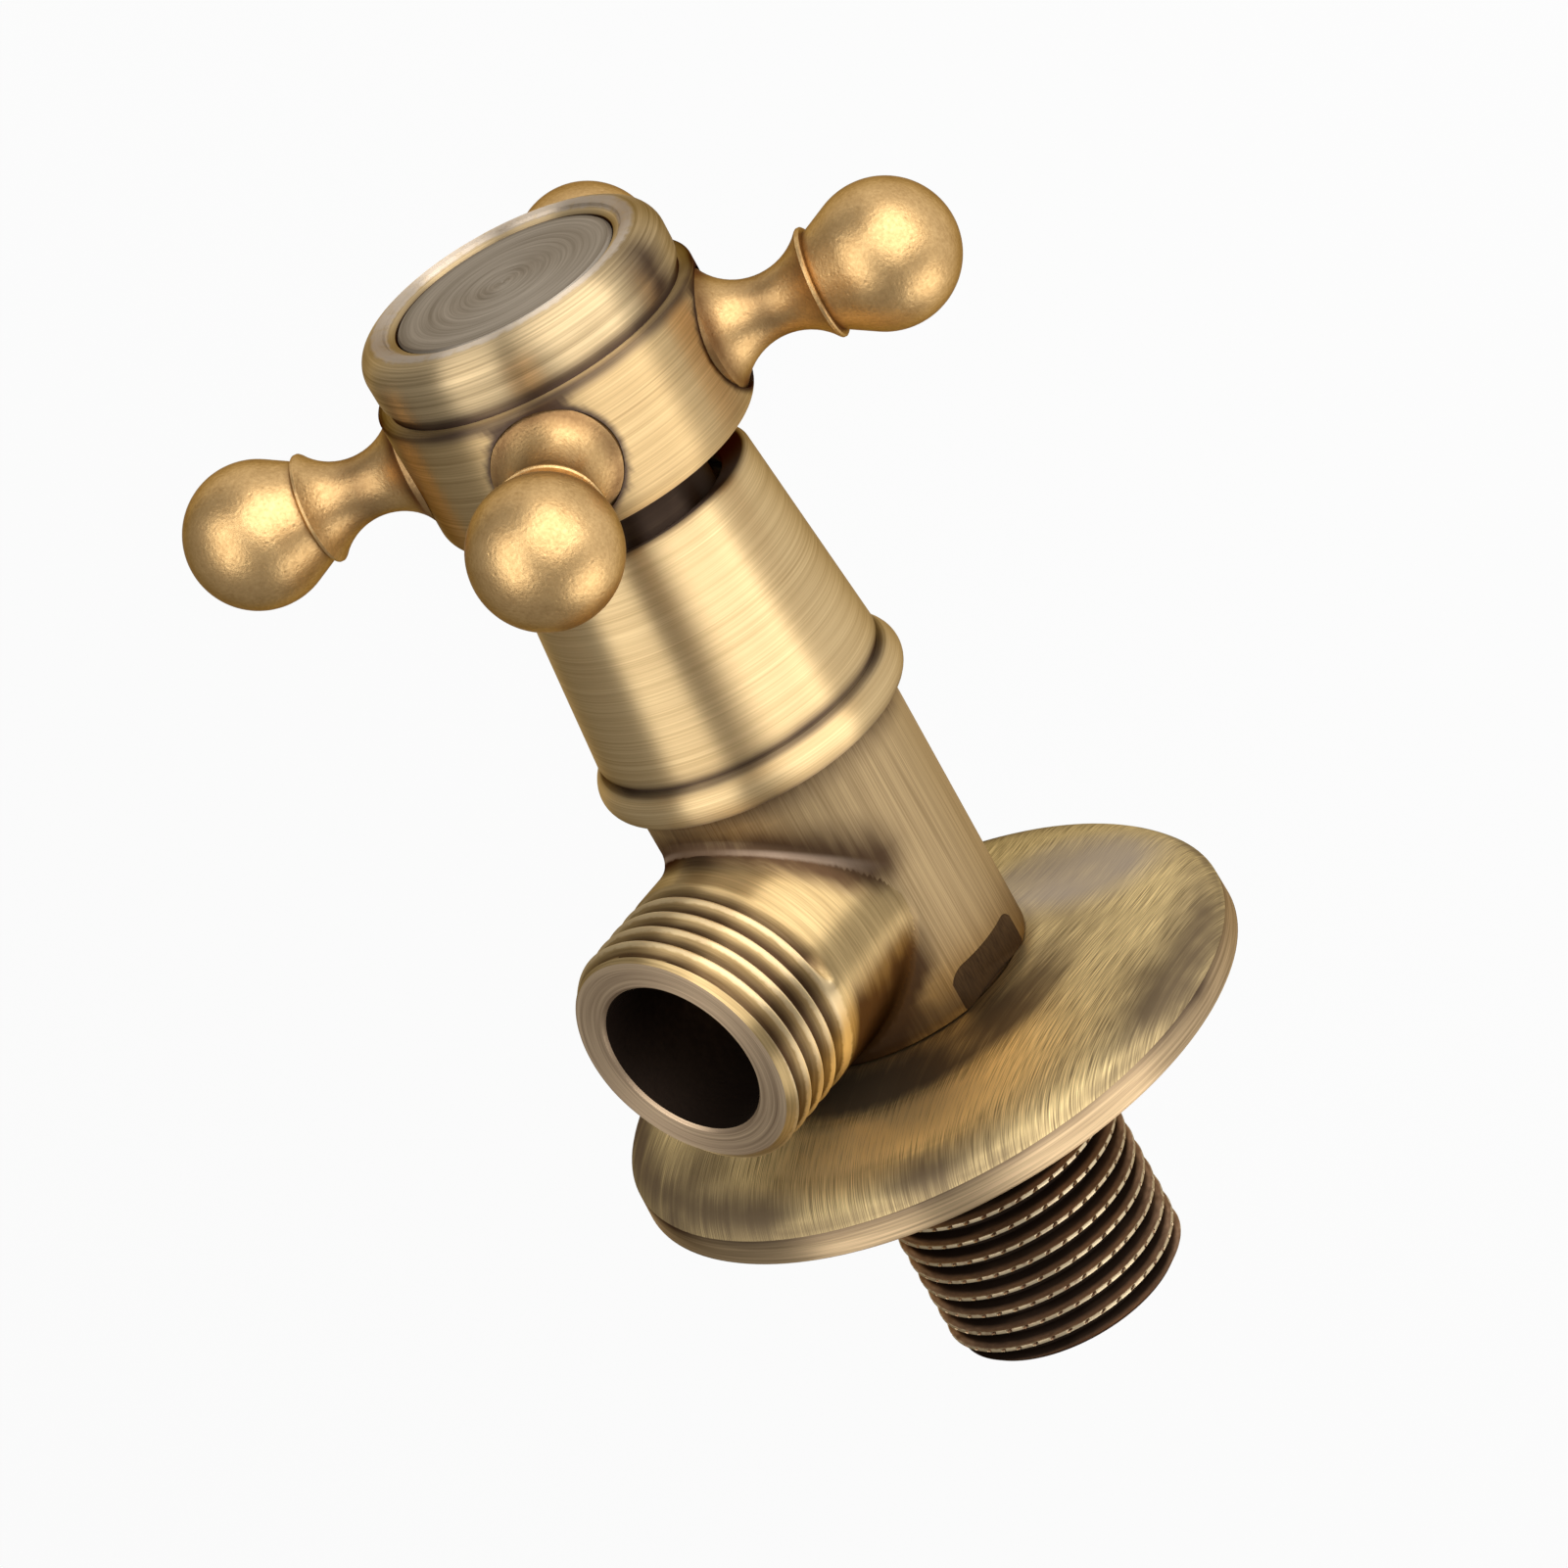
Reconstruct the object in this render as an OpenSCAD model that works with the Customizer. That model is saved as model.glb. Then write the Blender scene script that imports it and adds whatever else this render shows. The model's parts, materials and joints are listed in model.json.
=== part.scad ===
// Angle valve with a cross handle, for a wall supply.
// The origin is the middle of the wall plane, on the axis of the inlet.
// +Z is up, the way the outlet points, and the handle looks along -Y.
// Most pieces are turned on one axis. Their outlines are pairs of radius and
// distance out of the wall, and out_of_wall() lays that axis along -Y.

/* [Valve body] */
// Radius of the round barrel
barrel_r = 11.3; // [10.2:0.1:13]
// Distance from the wall to the foot of the barrel
barrel_foot = 7.2; // [6.4:0.1:9]
// Height of the barrel below the outlet boss
barrel_below = 0.7; // [0.2:0.1:3]
// Height of the barrel above the outlet boss
barrel_above = 2.3; // [1:0.1:6]
// Depth of the two wrench flats at the foot
flats_depth = 0.9; // [0.4:0.1:1.1]
// Height of the wrench flats
flats_h = 3.55; // [2.5:0.05:3.9]
// Major radius of the G 1/2 pipe threads
pipe_thread_r = 10.48; // [9.4:0.02:11.8]
// Length of the inlet shank behind the wall plane
shank_length = 24.6; // [16:0.2:40]
// Radius of the water way in the inlet
inlet_bore_r = 6.5; // [5:0.1:7.2]
// Reach of the outlet from the main axis
outlet_reach = 23.5; // [20:0.1:32]
// Radius of the water way in the outlet
outlet_bore_r = 7; // [5.5:0.1:7.8]
// Length of the outlet thread
outlet_thread_length = 9.6; // [6:0.1:11]
// Chamfer on the open ends of the pipe threads
thread_chamfer = 0.9; // [0.4:0.1:1.2]

/* [Wall flange] */
// Outer radius of the flange
flange_r = 26.6; // [22:0.2:34]
// Height of the straight rim band
rim_band = 2.4; // [1.5:0.1:3.2]
// Thickness of the flange shell
flange_wall = 1.3; // [0.8:0.1:1.4]
// Free space between the shank and the flange
flange_clearance = 0.3; // [0.2:0.05:0.5]

/* [Cover sleeve] */
// Length of the sleeve
sleeve_length = 24.1; // [21.5:0.1:30]
// Wall of the sleeve at the foot of its taper
sleeve_wall = 1.4; // [1.2:0.05:2]
// How much narrower the mouth is than the foot, on the radius
sleeve_taper = 1.65; // [1:0.05:1.9]
// How far the bead stands out from the foot of the taper
bead_out = 1.15; // [0.8:0.05:1.8]
// Height of the bead along the axis
bead_h = 5; // [4.4:0.1:5.6]
// Gap between the mouth and the skirt of the hub
mouth_gap = 1; // [0.5:0.1:1.4]

/* [Handle] */
// Gap between the sleeve and the underside of the hub
hub_gap = 3.3; // [2:0.1:4]
// How far the hub stands out past the bead of the sleeve
hub_out = 0.1; // [0:0.05:1.5]
// Rounding of the lower edge of the hub
hub_round = 2; // [1:0.1:2.6]
// Wall of the skirt that enters the sleeve
skirt_wall = 1.4; // [0.8:0.1:1.8]
// Depth to which the skirt enters the sleeve
skirt_dip = 3.1; // [2:0.1:4]
// Distance of the arms from the underside of the hub
arm_height = 6.4; // [5.8:0.1:7.2]
// Hub above the foot of the arms
arm_cover = 0.6; // [0.4:0.1:2]
// Angle of the first arm round the hub
arm_angle = 33.7; // [0:0.1:89]
// Distance of the ball centres from the side of the hub
arm_length = 13.55; // [12.2:0.05:15.2]
// Radius of the balls
ball_r = 5.9; // [5.2:0.1:6.6]
// Radius of the arm where it meets the hub
arm_foot_r = 5; // [4.4:0.1:5.6]
// Radius of the arm at its neck
arm_neck_r = 2.54; // [2.2:0.02:2.9]
// Radius of the collar before the ball
arm_collar_r = 4.5; // [4:0.1:5]
// How much narrower the cap ring is than the hub, on the radius
cap_step = 0.65; // [0.2:0.05:1.5]
// Height of the cap ring above the hub
cap_h = 5.4; // [4.8:0.1:6.4]
// Width of the cap ring round the index disc
cap_rim = 4; // [3.6:0.1:5]

/* [Cartridge] */
// Wall of the body round the thread of the cartridge
spigot_wall = 1.6; // [1.2:0.05:2]
// Step from that thread to the cage below it
cage_step = 1.1; // [0.8:0.1:1.6]
// Wall of the cage round the ceramic discs
cage_wall = 0.85; // [0.6:0.05:1.2]
// Height of the valve seat over the foot of the barrel
seat_h = 2.3; // [1.8:0.1:3]
// Thickness of each ceramic disc
ceramic_h = 3.2; // [2.6:0.1:3.6]
// Radius of the spindle
spindle_r = 4; // [3.6:0.1:4.5]
// Number of teeth on the splined end
spline_teeth = 20; // [16:2:24]
// Major radius of the handle screw
screw_r = 2; // [1.5:0.1:2.2]

/* [Fits] */
// Clearance of turning and screwed fits on the radius
fit = 0.05; // [0.03:0.01:0.08]
// Film between faces that turn on each other
face_gap = 0.05; // [0.03:0.01:0.1]

/* [Hidden] */
$fn = 96;

// Colours of the finishes
antique_brass = [0.66, 0.53, 0.33];
cast_brass = [0.74, 0.55, 0.30];
raw_brass = [0.78, 0.64, 0.36];
ceramic = [0.93, 0.91, 0.86];
black_rubber = [0.12, 0.12, 0.12];
steel = [0.70, 0.71, 0.72];

// Small overrun that keeps cuts clear of the faces they pass
cut = 0.5;

// Thin gap between faces that rest on each other
seat_gap = 0.02;

// Outlet: its boss is a little narrower than its thread
boss_step = 0.28;
boss_r = pipe_thread_r - boss_step;
outlet_axis = barrel_foot + barrel_below + boss_r;

// Heights along the main axis, from the wall outwards
barrel_top = outlet_axis + boss_r + barrel_above;
spigot_h = 5.4;
spigot_top = barrel_top + spigot_h;
sleeve_top = barrel_top + sleeve_length;
seat_face = barrel_foot + seat_h;
seat_lip = 0.8;
cage_foot = seat_face + seat_lip;
seal_h = 2.3;
lower_disc_foot = seat_face + seal_h;
upper_disc_foot = lower_disc_foot + ceramic_h + face_gap;
upper_disc_top = upper_disc_foot + ceramic_h;
spindle_foot = upper_disc_top + face_gap;
spindle_foot_h = 2.4;
cage_top = spindle_foot + spindle_foot_h + face_gap;
cage_thread_h = 10.6;
cage_thread_foot = spigot_top - cage_thread_h;
hex_h = 4.2;
skirt_foot = sleeve_top - skirt_dip;
clip_room = 2;
bonnet_top = skirt_foot - clip_room;
washer_h = 0.6;
clip_h = 0.8;
clip_foot = bonnet_top + washer_h + 2 * face_gap;
clip_top = clip_foot + clip_h;
hub_foot = sleeve_top + hub_gap;
arm_axis = hub_foot + arm_height;
hub_top = arm_axis + arm_foot_r + arm_cover;
web_place = 3.4;
web_h = 1.4;
web_foot = hub_foot + web_place;
web_top = web_foot + web_h;
spindle_end_gap = 0.3;
spindle_top = web_foot - spindle_end_gap;
cap_foot = hub_top;
cap_top = cap_foot + cap_h;
disc_h = 2.13;
disc_sink = 0.45;
disc_seat = cap_top - disc_sink - disc_h - seat_gap;

// Radii inside the body
spigot_step = 0.7;
spigot_r = barrel_r - spigot_step;
bonnet_thread_r = spigot_r - spigot_wall;
cage_r = bonnet_thread_r - cage_step;
chamber_gap = 0.3;
chamber_r = cage_r + chamber_gap;
ceramic_gap = 0.15;
cage_bore_r = cage_r - cage_wall;
ceramic_r = cage_bore_r - ceramic_gap;
spindle_foot_r = ceramic_r - 0.3;
neck_wall = 2.25;
neck_bore_r = spindle_r + fit;
bonnet_neck_r = neck_bore_r + neck_wall;

// Cover sleeve
sleeve_gap = 0.25;
sleeve_bore_r = spigot_r + sleeve_gap;
sleeve_foot_r = sleeve_bore_r + sleeve_wall;
sleeve_mouth_r = sleeve_foot_r - sleeve_taper;
bead_r = sleeve_foot_r + bead_out;
sleeve_thread_h = 3.2;
sleeve_bore_h = 12;
mouth_wall = 1.35;
mouth_depth = 0.7;
mouth_land = 1;
mouth_slope = 1.4;
hub_r = bead_r + hub_out;

// Spindle end, clip and handle screw
clip_w = 2.1;
clip_groove_r = spindle_r - 0.8;
clip_r = clip_groove_r + clip_w;
clip_room_r = clip_r + 0.2;
skirt_r = clip_room_r + skirt_wall;
mouth_hole_r = skirt_r + mouth_gap;
spline_r = spindle_r - 0.1;
spline_depth = 0.35;
screw_hole_r = screw_r + fit;
screw_head_r = 2 * screw_r - 0.3;

// Arms: each ends in a plug and a stud that lie in the hub
ball_reach = hub_r + arm_length;
plug_h = 2;
stud_h = 4;
plug_foot = hub_r - plug_h;
stud_foot = plug_foot - stud_h;
stud_r = arm_foot_r - 2;

// Cap ring and index disc
cap_r = hub_r - cap_step;
disc_r = cap_r - cap_rim;
disc_gap = 0.1;
disc_seat_r = disc_r + disc_gap;
cap_spigot_wall = 1.55;
cap_spigot_r = disc_seat_r + cap_spigot_wall;
cap_spigot_h = 2.2;

// Tongue of the spindle and the slot it drives
drive_w = 3;
drive_depth = 1.3;

// O-rings: thickness as a radius, and the radii they run on
o_ring_r = 0.75;
body_ring_groove = bonnet_thread_r - 2 * o_ring_r;
body_ring_place = spigot_top - 1.6;
spindle_ring_r = 0.6;
spindle_ring_groove = spindle_r - 2 * spindle_ring_r;
ring_start = 5;
ring_spacing = 4;
lower_ring_place = cage_top + ring_start;
upper_ring_place = lower_ring_place + ring_spacing;
sleeve_ring_r = 0.45;
sleeve_ring_place = spigot_top - 1;
sleeve_ring_groove = spigot_r - 0.75;

// Places a shape turned on Z on the main axis, with Z pointing out of the wall
module out_of_wall() {
    rotate([90, 0, 0]) children();
}

// Turns an outline of [radius, height] pairs
module turned(outline) {
    rotate_extrude() polygon(outline);
}

// A round bar between two heights
module bar(radius, foot, top) {
    translate([0, 0, foot]) cylinder(r = radius, h = top - foot);
}

// A round tube between two heights
module tube(outer, inner, foot, top) {
    difference() {
        bar(outer, foot, top);
        bar(inner, foot - cut, top + cut);
    }
}

// A rubber ring of round section, seated on a groove floor
module o_ring(floor_r, section_r, place) {
    translate([0, 0, place])
        rotate_extrude()
            translate([floor_r + section_r + fit, 0])
                circle(r = section_r, $fn = 32);
}

// A ring-shaped cut, as wide as the rubber ring it holds
module groove(floor_r, outer_r, section_r, place) {
    half = section_r + 0.15;
    tube(outer_r, floor_r, place - half, place + half);
}

// Points along an arc of a circle
function arc(centre_r, centre_h, radius, from, to, steps) = [
    for (i = [0:steps])
        let (a = from + (to - from) * i / steps)
        [centre_r + radius * cos(a), centre_h + radius * sin(a)]
];

// Points along a smooth curve with four control points
function curve(a, b, c, d, steps) = [
    for (i = [0:steps])
        let (t = i / steps, u = 1 - t)
        u * u * u * a + 3 * u * u * t * b + 3 * u * t * t * c + t * t * t * d
];

// Valve body: one forging with barrel, outlet boss and inlet shank.
// A relief ends the inlet thread, and a plain neck carries the flange.
module body_outside() {
    foot_chamfer = 0.3;
    relief_r = pipe_thread_r - 1.2;
    relief_foot = 1.2;
    flange_neck = 4;
    relief_top = barrel_foot - flange_neck;
    turned([
        [0, -shank_length],
        [pipe_thread_r - thread_chamfer, -shank_length],
        [pipe_thread_r, thread_chamfer - shank_length],
        [pipe_thread_r, relief_foot],
        [relief_r, relief_foot + 0.5],
        [relief_r, relief_top - 0.5],
        [pipe_thread_r, relief_top],
        [pipe_thread_r, barrel_foot],
        [barrel_r - foot_chamfer, barrel_foot],
        [barrel_r, barrel_foot + foot_chamfer],
        [barrel_r, barrel_top],
        [spigot_r, barrel_top],
        [spigot_r, spigot_top],
        [0, spigot_top]
    ]);
}

module outlet_boss() {
    plain_end = outlet_reach - outlet_thread_length;
    translate([0, 0, outlet_axis])
        rotate([-90, 0, 0]) {
            bar(boss_r, 0, plain_end);
            turned([
                [0, plain_end - cut],
                [boss_r - 0.1, plain_end - cut],
                [boss_r - 0.1, plain_end],
                [pipe_thread_r, plain_end],
                [pipe_thread_r, outlet_reach - thread_chamfer],
                [pipe_thread_r - thread_chamfer, outlet_reach],
                [0, outlet_reach]
            ]);
        }
}

module valve_body() {
    seat_hole_r = inlet_bore_r - 1;
    seat_web = 2;
    chamber_end = cage_thread_foot - 0.4;
    color(antique_brass)
    out_of_wall()
    difference() {
        union() {
            body_outside();
            outlet_boss();
        }
        // Water way: inlet bore, seat hole, chamber and cartridge thread
        bar(inlet_bore_r, -shank_length - cut, seat_face - seat_web);
        bar(seat_hole_r, seat_face - seat_web - cut, seat_face + cut);
        bar(chamber_r, seat_face, chamber_end + cut);
        bar(bonnet_thread_r + fit, chamber_end, spigot_top + cut);
        // Outlet bore
        translate([0, 0, outlet_axis])
            rotate([-90, 0, 0])
                bar(outlet_bore_r, 0, outlet_reach + cut);
        // Two wrench flats at the foot
        for (side = [-1, 1])
            translate([side * (1.5 * barrel_r - flats_depth),
                       0, barrel_foot + flats_h / 2])
                cube([barrel_r, 2 * barrel_r, flats_h], center = true);
        groove(sleeve_ring_groove, spigot_r + cut, sleeve_ring_r, sleeve_ring_place);
    }
}

// Wall flange: a pressed dish with a straight rim, loose on the shank
dome_w = 5;
dome_h = 2.7;
slope_w = 3.4;
slope_h = 0.75;
function flange_face(outer_r, foot, hole_r, top) = concat(
    curve([outer_r, foot], [outer_r - 0.18 * dome_w, foot + 0.48 * dome_h],
          [outer_r - 0.48 * dome_w, foot + 0.78 * dome_h],
          [outer_r - dome_w, foot + dome_h], 8),
    curve([outer_r - dome_w, foot + dome_h],
          [outer_r - dome_w - slope_w, foot + dome_h + slope_h],
          [hole_r + slope_w, top - slope_h], [hole_r, top], 8)
);

module wall_flange() {
    lip_w = 0.92;
    hole_r = pipe_thread_r + flange_clearance;
    lip_r = hole_r + lip_w;
    top = barrel_foot - face_gap;
    outside = flange_face(flange_r - 0.1, rim_band, lip_r, top);
    inside = flange_face(flange_r - 0.1 - flange_wall, rim_band - flange_wall,
                         lip_r, top - flange_wall);
    color(antique_brass)
    out_of_wall()
    turned(concat(
        [[flange_r, 0]], outside, [[hole_r, top], [hole_r, top - flange_wall]],
        [for (i = [len(inside) - 1:-1:0]) inside[i]],
        [[flange_r - flange_wall, 0]]
    ));
}

// Cover sleeve: a tapered shroud with a bead, screwed on the body
module cover_sleeve() {
    foot = barrel_top + seat_gap;
    thread_top = barrel_top + sleeve_thread_h;
    bead_round = 1.9;
    bead_middle = barrel_top + bead_h - bead_round;
    taper_foot = barrel_top + bead_h + 0.25;
    mouth_round = 0.45;
    land_foot = sleeve_top - mouth_depth - mouth_land;
    color(antique_brass)
    out_of_wall()
    turned(concat(
        [[spigot_r + fit, foot], [bead_r - bead_round + 0.2, foot]],
        arc(bead_r - bead_round, barrel_top + bead_round, bead_round, -60, 0, 6),
        arc(bead_r - bead_round, bead_middle, bead_round, 0, 75, 8),
        [[sleeve_foot_r - 0.25, taper_foot - 0.25],
         [sleeve_foot_r, taper_foot + 0.4]],
        arc(sleeve_mouth_r - mouth_round, sleeve_top - mouth_round, mouth_round, 0, 90, 5),
        [[sleeve_mouth_r - 0.75, sleeve_top],
         [mouth_hole_r, sleeve_top - mouth_depth],
         [mouth_hole_r, land_foot],
         [sleeve_mouth_r - mouth_wall, land_foot - mouth_slope],
         [sleeve_bore_r, barrel_top + sleeve_bore_h],
         [sleeve_bore_r, thread_top + 0.3], [spigot_r + fit, thread_top]]
    ));
}

module sleeve_o_ring() {
    color(black_rubber)
    out_of_wall()
    o_ring(sleeve_ring_groove, sleeve_ring_r, sleeve_ring_place);
}

// Cartridge housing: cage with water windows, thread, hexagon and neck
module cartridge_housing() {
    hex_r = (bonnet_thread_r - 0.5) / cos(30);
    window_w = 7.4;
    window_edge = 0.4;
    window_foot = upper_disc_foot + window_edge;
    window_top = spindle_foot + spindle_foot_h / 2 - window_edge;
    color(raw_brass)
    out_of_wall()
    difference() {
        union() {
            bar(cage_r, cage_foot, cage_thread_foot);
            bar(bonnet_thread_r, cage_thread_foot, spigot_top);
            bar(bonnet_thread_r + 0.9, spigot_top + seat_gap, spigot_top + 1);
            translate([0, 0, spigot_top])
                linear_extrude(height = hex_h) circle(r = hex_r, $fn = 6);
            bar(bonnet_neck_r, spigot_top, bonnet_top);
        }
        bar(cage_bore_r, cage_foot - cut, cage_top);
        bar(neck_bore_r, cage_top - cut, bonnet_top + cut);
        for (side = [0, 180])
            rotate([0, 0, side])
                translate([0, cage_r, (window_foot + window_top) / 2])
                    cube([window_w, cage_r, window_top - window_foot], center = true);
        groove(body_ring_groove, bonnet_thread_r + cut, o_ring_r, body_ring_place);
    }
}

module body_o_ring() {
    color(black_rubber)
    out_of_wall()
    o_ring(body_ring_groove, o_ring_r - fit, body_ring_place);
}

// Seat seal: the rubber ring pressed on the valve seat
module seat_seal() {
    seal_r = ceramic_r;
    lip_r = ceramic_r - 0.5;
    bore = ceramic_r - 1.5;
    color(black_rubber)
    out_of_wall()
    turned([
        [bore, seat_face], [lip_r, seat_face], [seal_r, cage_foot],
        [seal_r, lower_disc_foot], [bore, lower_disc_foot]
    ]);
}

// Quarter sectors of a disc, which are the ports of the ceramic discs
module ports(inner_r, outer_r, foot, top, heading) {
    span = 80;
    steps = 16;
    translate([0, 0, foot])
        linear_extrude(height = top - foot)
            for (side = [0, 180])
                polygon(concat(
                    [for (i = [0:steps])
                        let (a = heading + side - span / 2 + span * i / steps)
                        outer_r * [cos(a), sin(a)]],
                    [for (i = [steps:-1:0])
                        let (a = heading + side - span / 2 + span * i / steps)
                        inner_r * [cos(a), sin(a)]]
                ));
}

module lower_ceramic_disc() {
    top = lower_disc_foot + ceramic_h;
    color(ceramic)
    out_of_wall()
    difference() {
        bar(ceramic_r, lower_disc_foot, top);
        ports(1.4, ceramic_r - 1.6, lower_disc_foot - cut, top + cut, 0);
    }
}

// Upper disc: turns on the lower one, open at its rim towards the windows
module upper_ceramic_disc() {
    color(ceramic)
    out_of_wall()
    difference() {
        bar(ceramic_r - 0.05, upper_disc_foot, upper_disc_top);
        ports(1.4, ceramic_r + cut, upper_disc_foot - cut,
              upper_disc_foot + ceramic_h / 2, 90);
        translate([0, 0, upper_disc_top])
            cube([2 * ceramic_r + cut, drive_w, 2 * drive_depth], center = true);
    }
}

// Spindle: driving tongue and foot, stem with ring grooves, splined end
module spline_end() {
    tooth_w = 0.62;
    difference() {
        bar(spline_r, clip_top + 1.2, spindle_top);
        for (i = [0:spline_teeth - 1])
            rotate([0, 0, 360 * i / spline_teeth])
                translate([spline_r, 0, (skirt_foot + spindle_top) / 2])
                    cube([2 * spline_depth, tooth_w, spindle_top], center = true);
    }
}

module spindle() {
    screw_depth = 9;
    color(raw_brass)
    out_of_wall()
    difference() {
        union() {
            bar(spindle_foot_r, spindle_foot, spindle_foot + spindle_foot_h);
            translate([0, 0, spindle_foot])
                cube([2 * spindle_foot_r - 1, drive_w - 0.2,
                      2 * (drive_depth - 0.2)], center = true);
            bar(spindle_r, spindle_foot, clip_top + 1.4);
            spline_end();
        }
        tube(spindle_r + cut, clip_groove_r, clip_foot - face_gap, clip_top + face_gap);
        groove(spindle_ring_groove, spindle_r + cut, spindle_ring_r, lower_ring_place);
        groove(spindle_ring_groove, spindle_r + cut, spindle_ring_r, upper_ring_place);
        bar(screw_hole_r, spindle_top - screw_depth, spindle_top + cut);
    }
}

module spindle_o_ring(place) {
    color(black_rubber)
    out_of_wall()
    o_ring(spindle_ring_groove, spindle_ring_r - fit, place);
}
module spindle_o_ring_lower() { spindle_o_ring(lower_ring_place); }
module spindle_o_ring_upper() { spindle_o_ring(upper_ring_place); }

module thrust_washer() {
    color(steel)
    out_of_wall()
    tube(bonnet_neck_r - 0.3, neck_bore_r,
         bonnet_top + face_gap, bonnet_top + face_gap + washer_h);
}

// Retaining clip: an open ring in the groove of the spindle
module retaining_clip() {
    opening = 3.6;
    color(steel)
    out_of_wall()
    difference() {
        tube(clip_r, clip_groove_r + fit, clip_foot, clip_top);
        translate([clip_r, 0, clip_foot])
            cube([2 * clip_r, opening, 4 * clip_h], center = true);
    }
}

// Handle hub: turned body with a skirt, broached for the spindle
module hub_outside() {
    edge = 0.2;
    turned(concat(
        [[0, skirt_foot], [skirt_r - edge, skirt_foot], [skirt_r, skirt_foot + edge],
         [skirt_r, hub_foot]],
        arc(hub_r - hub_round, hub_foot + hub_round, hub_round, -90, 0, 10),
        [[hub_r, hub_top - edge], [hub_r - edge, hub_top], [0, hub_top]]
    ));
}

// Places a shape turned on Z along one arm, with Z pointing away from the hub
module along_arm(number) {
    translate([0, 0, arm_axis])
        rotate([0, 0, arm_angle + 90 * (number - 1)])
            rotate([0, 90, 0])
                children();
}

module handle_hub() {
    well_wall = 2.2;
    well_r = screw_head_r + well_wall;
    clip_room_h = 1.6;
    cap_spigot_room = cap_spigot_h + 0.2;
    color(antique_brass)
    out_of_wall()
    difference() {
        hub_outside();
        // Broached hole and the room for clip and washer
        bar(spline_r + fit, skirt_foot - cut, web_foot);
        bar(clip_room_r, skirt_foot - cut, skirt_foot + clip_room_h);
        bar(screw_hole_r + 0.2, web_foot - cut, web_top + cut);
        bar(well_r, web_top, hub_top + cut);
        bar(cap_spigot_r + fit, hub_top - cap_spigot_room, hub_top + cut);
        for (number = [1:4])
            along_arm(number) {
                bar(arm_foot_r + fit, plug_foot - fit, hub_r + cut);
                bar(stud_r + fit, stud_foot - cut, plug_foot + cut);
            }
    }
}

// Handle arm: stud, plug, curved neck, collar and ball, turned in one
module handle_arm(number) {
    neck_round = 5.25;
    neck_centre = arm_neck_r + neck_round;
    neck_at = hub_r + arm_length / 2 - 2.8;
    collar_h = 0.5;
    collar_edge = 0.1;
    collar_at = ball_reach - ball_r + 0.35;
    shoulder = arm_collar_r - collar_h;
    shoulder_at = collar_at + collar_h - ball_reach;
    foot_angle = acos((neck_centre - arm_foot_r) / neck_round);
    collar_angle = asin((collar_at - neck_at) / neck_round);
    // Where the cone from the shoulder runs into the ball
    ball_angle = atan2(shoulder_at, shoulder) + acos(ball_r / norm([shoulder, shoulder_at]));
    color(cast_brass)
    out_of_wall()
    along_arm(number)
    turned(concat(
        [[0, stud_foot], [stud_r, stud_foot], [stud_r, plug_foot],
         [arm_foot_r, plug_foot]],
        arc(neck_centre, neck_at, neck_round,
            180 + foot_angle, 180 - collar_angle, 14),
        [[arm_collar_r - collar_edge, collar_at],
         [arm_collar_r, collar_at + collar_edge],
         [arm_collar_r, collar_at + collar_h - 2 * collar_edge],
         [arm_collar_r - collar_edge, collar_at + collar_h - collar_edge],
         [shoulder, collar_at + collar_h]],
        arc(0, ball_reach, ball_r, ball_angle, 90, 16)
    ));
}
module handle_arm_1() { handle_arm(1); }
module handle_arm_2() { handle_arm(2); }
module handle_arm_3() { handle_arm(3); }
module handle_arm_4() { handle_arm(4); }

// Handle screw: cheese head on the web of the hub, threaded into the spindle
module handle_screw() {
    head_h = 2.4;
    slot_w = 1;
    slot_depth = 1;
    screw_length = 7.5;
    color(steel)
    out_of_wall()
    difference() {
        union() {
            bar(screw_r, spindle_top - screw_length, web_top + cut);
            bar(screw_head_r, web_top + seat_gap, web_top + head_h);
        }
        translate([0, 0, web_top + head_h])
            cube([2 * screw_head_r + cut, slot_w, 2 * slot_depth], center = true);
    }
}

// Cap ring: rounded ring screwed in the top of the hub
module cap_ring() {
    waist = 0.4;
    crown = 2.3;
    lip_r = disc_seat_r + 1.1;
    spigot_foot = hub_top - cap_spigot_h;
    color(antique_brass)
    out_of_wall()
    turned(concat(
        [[cap_spigot_r, spigot_foot], [cap_spigot_r, cap_foot + seat_gap],
         [cap_r - waist, cap_foot + seat_gap], [cap_r - waist, cap_foot + 0.5],
         [cap_r - 0.12, cap_foot + 0.95], [cap_r - 0.03, cap_foot + 1.6]],
        arc(cap_r - crown, cap_top - crown, crown, 0, 90, 10),
        [[lip_r + 0.15, cap_top - 0.1], [lip_r, cap_top - 0.3],
         [disc_seat_r, cap_top - 0.5], [disc_seat_r, disc_seat],
         [disc_seat_r - 1, disc_seat], [disc_seat_r - 1, spigot_foot]]
    ));
}

// Index disc: plain disc on the ledge of the cap ring
module index_disc() {
    edge = 0.12;
    foot = disc_seat + seat_gap;
    top = foot + disc_h;
    color(antique_brass)
    out_of_wall()
    turned([
        [0, foot], [disc_r, foot], [disc_r, top - edge], [disc_r - edge, top], [0, top]
    ]);
}

valve_body();
wall_flange();
cover_sleeve();
sleeve_o_ring();
cartridge_housing();
body_o_ring();
seat_seal();
lower_ceramic_disc();
upper_ceramic_disc();
spindle();
spindle_o_ring_lower();
spindle_o_ring_upper();
thrust_washer();
retaining_clip();
handle_hub();
handle_arm_1();
handle_arm_2();
handle_arm_3();
handle_arm_4();
handle_screw();
cap_ring();
index_disc();
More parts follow.
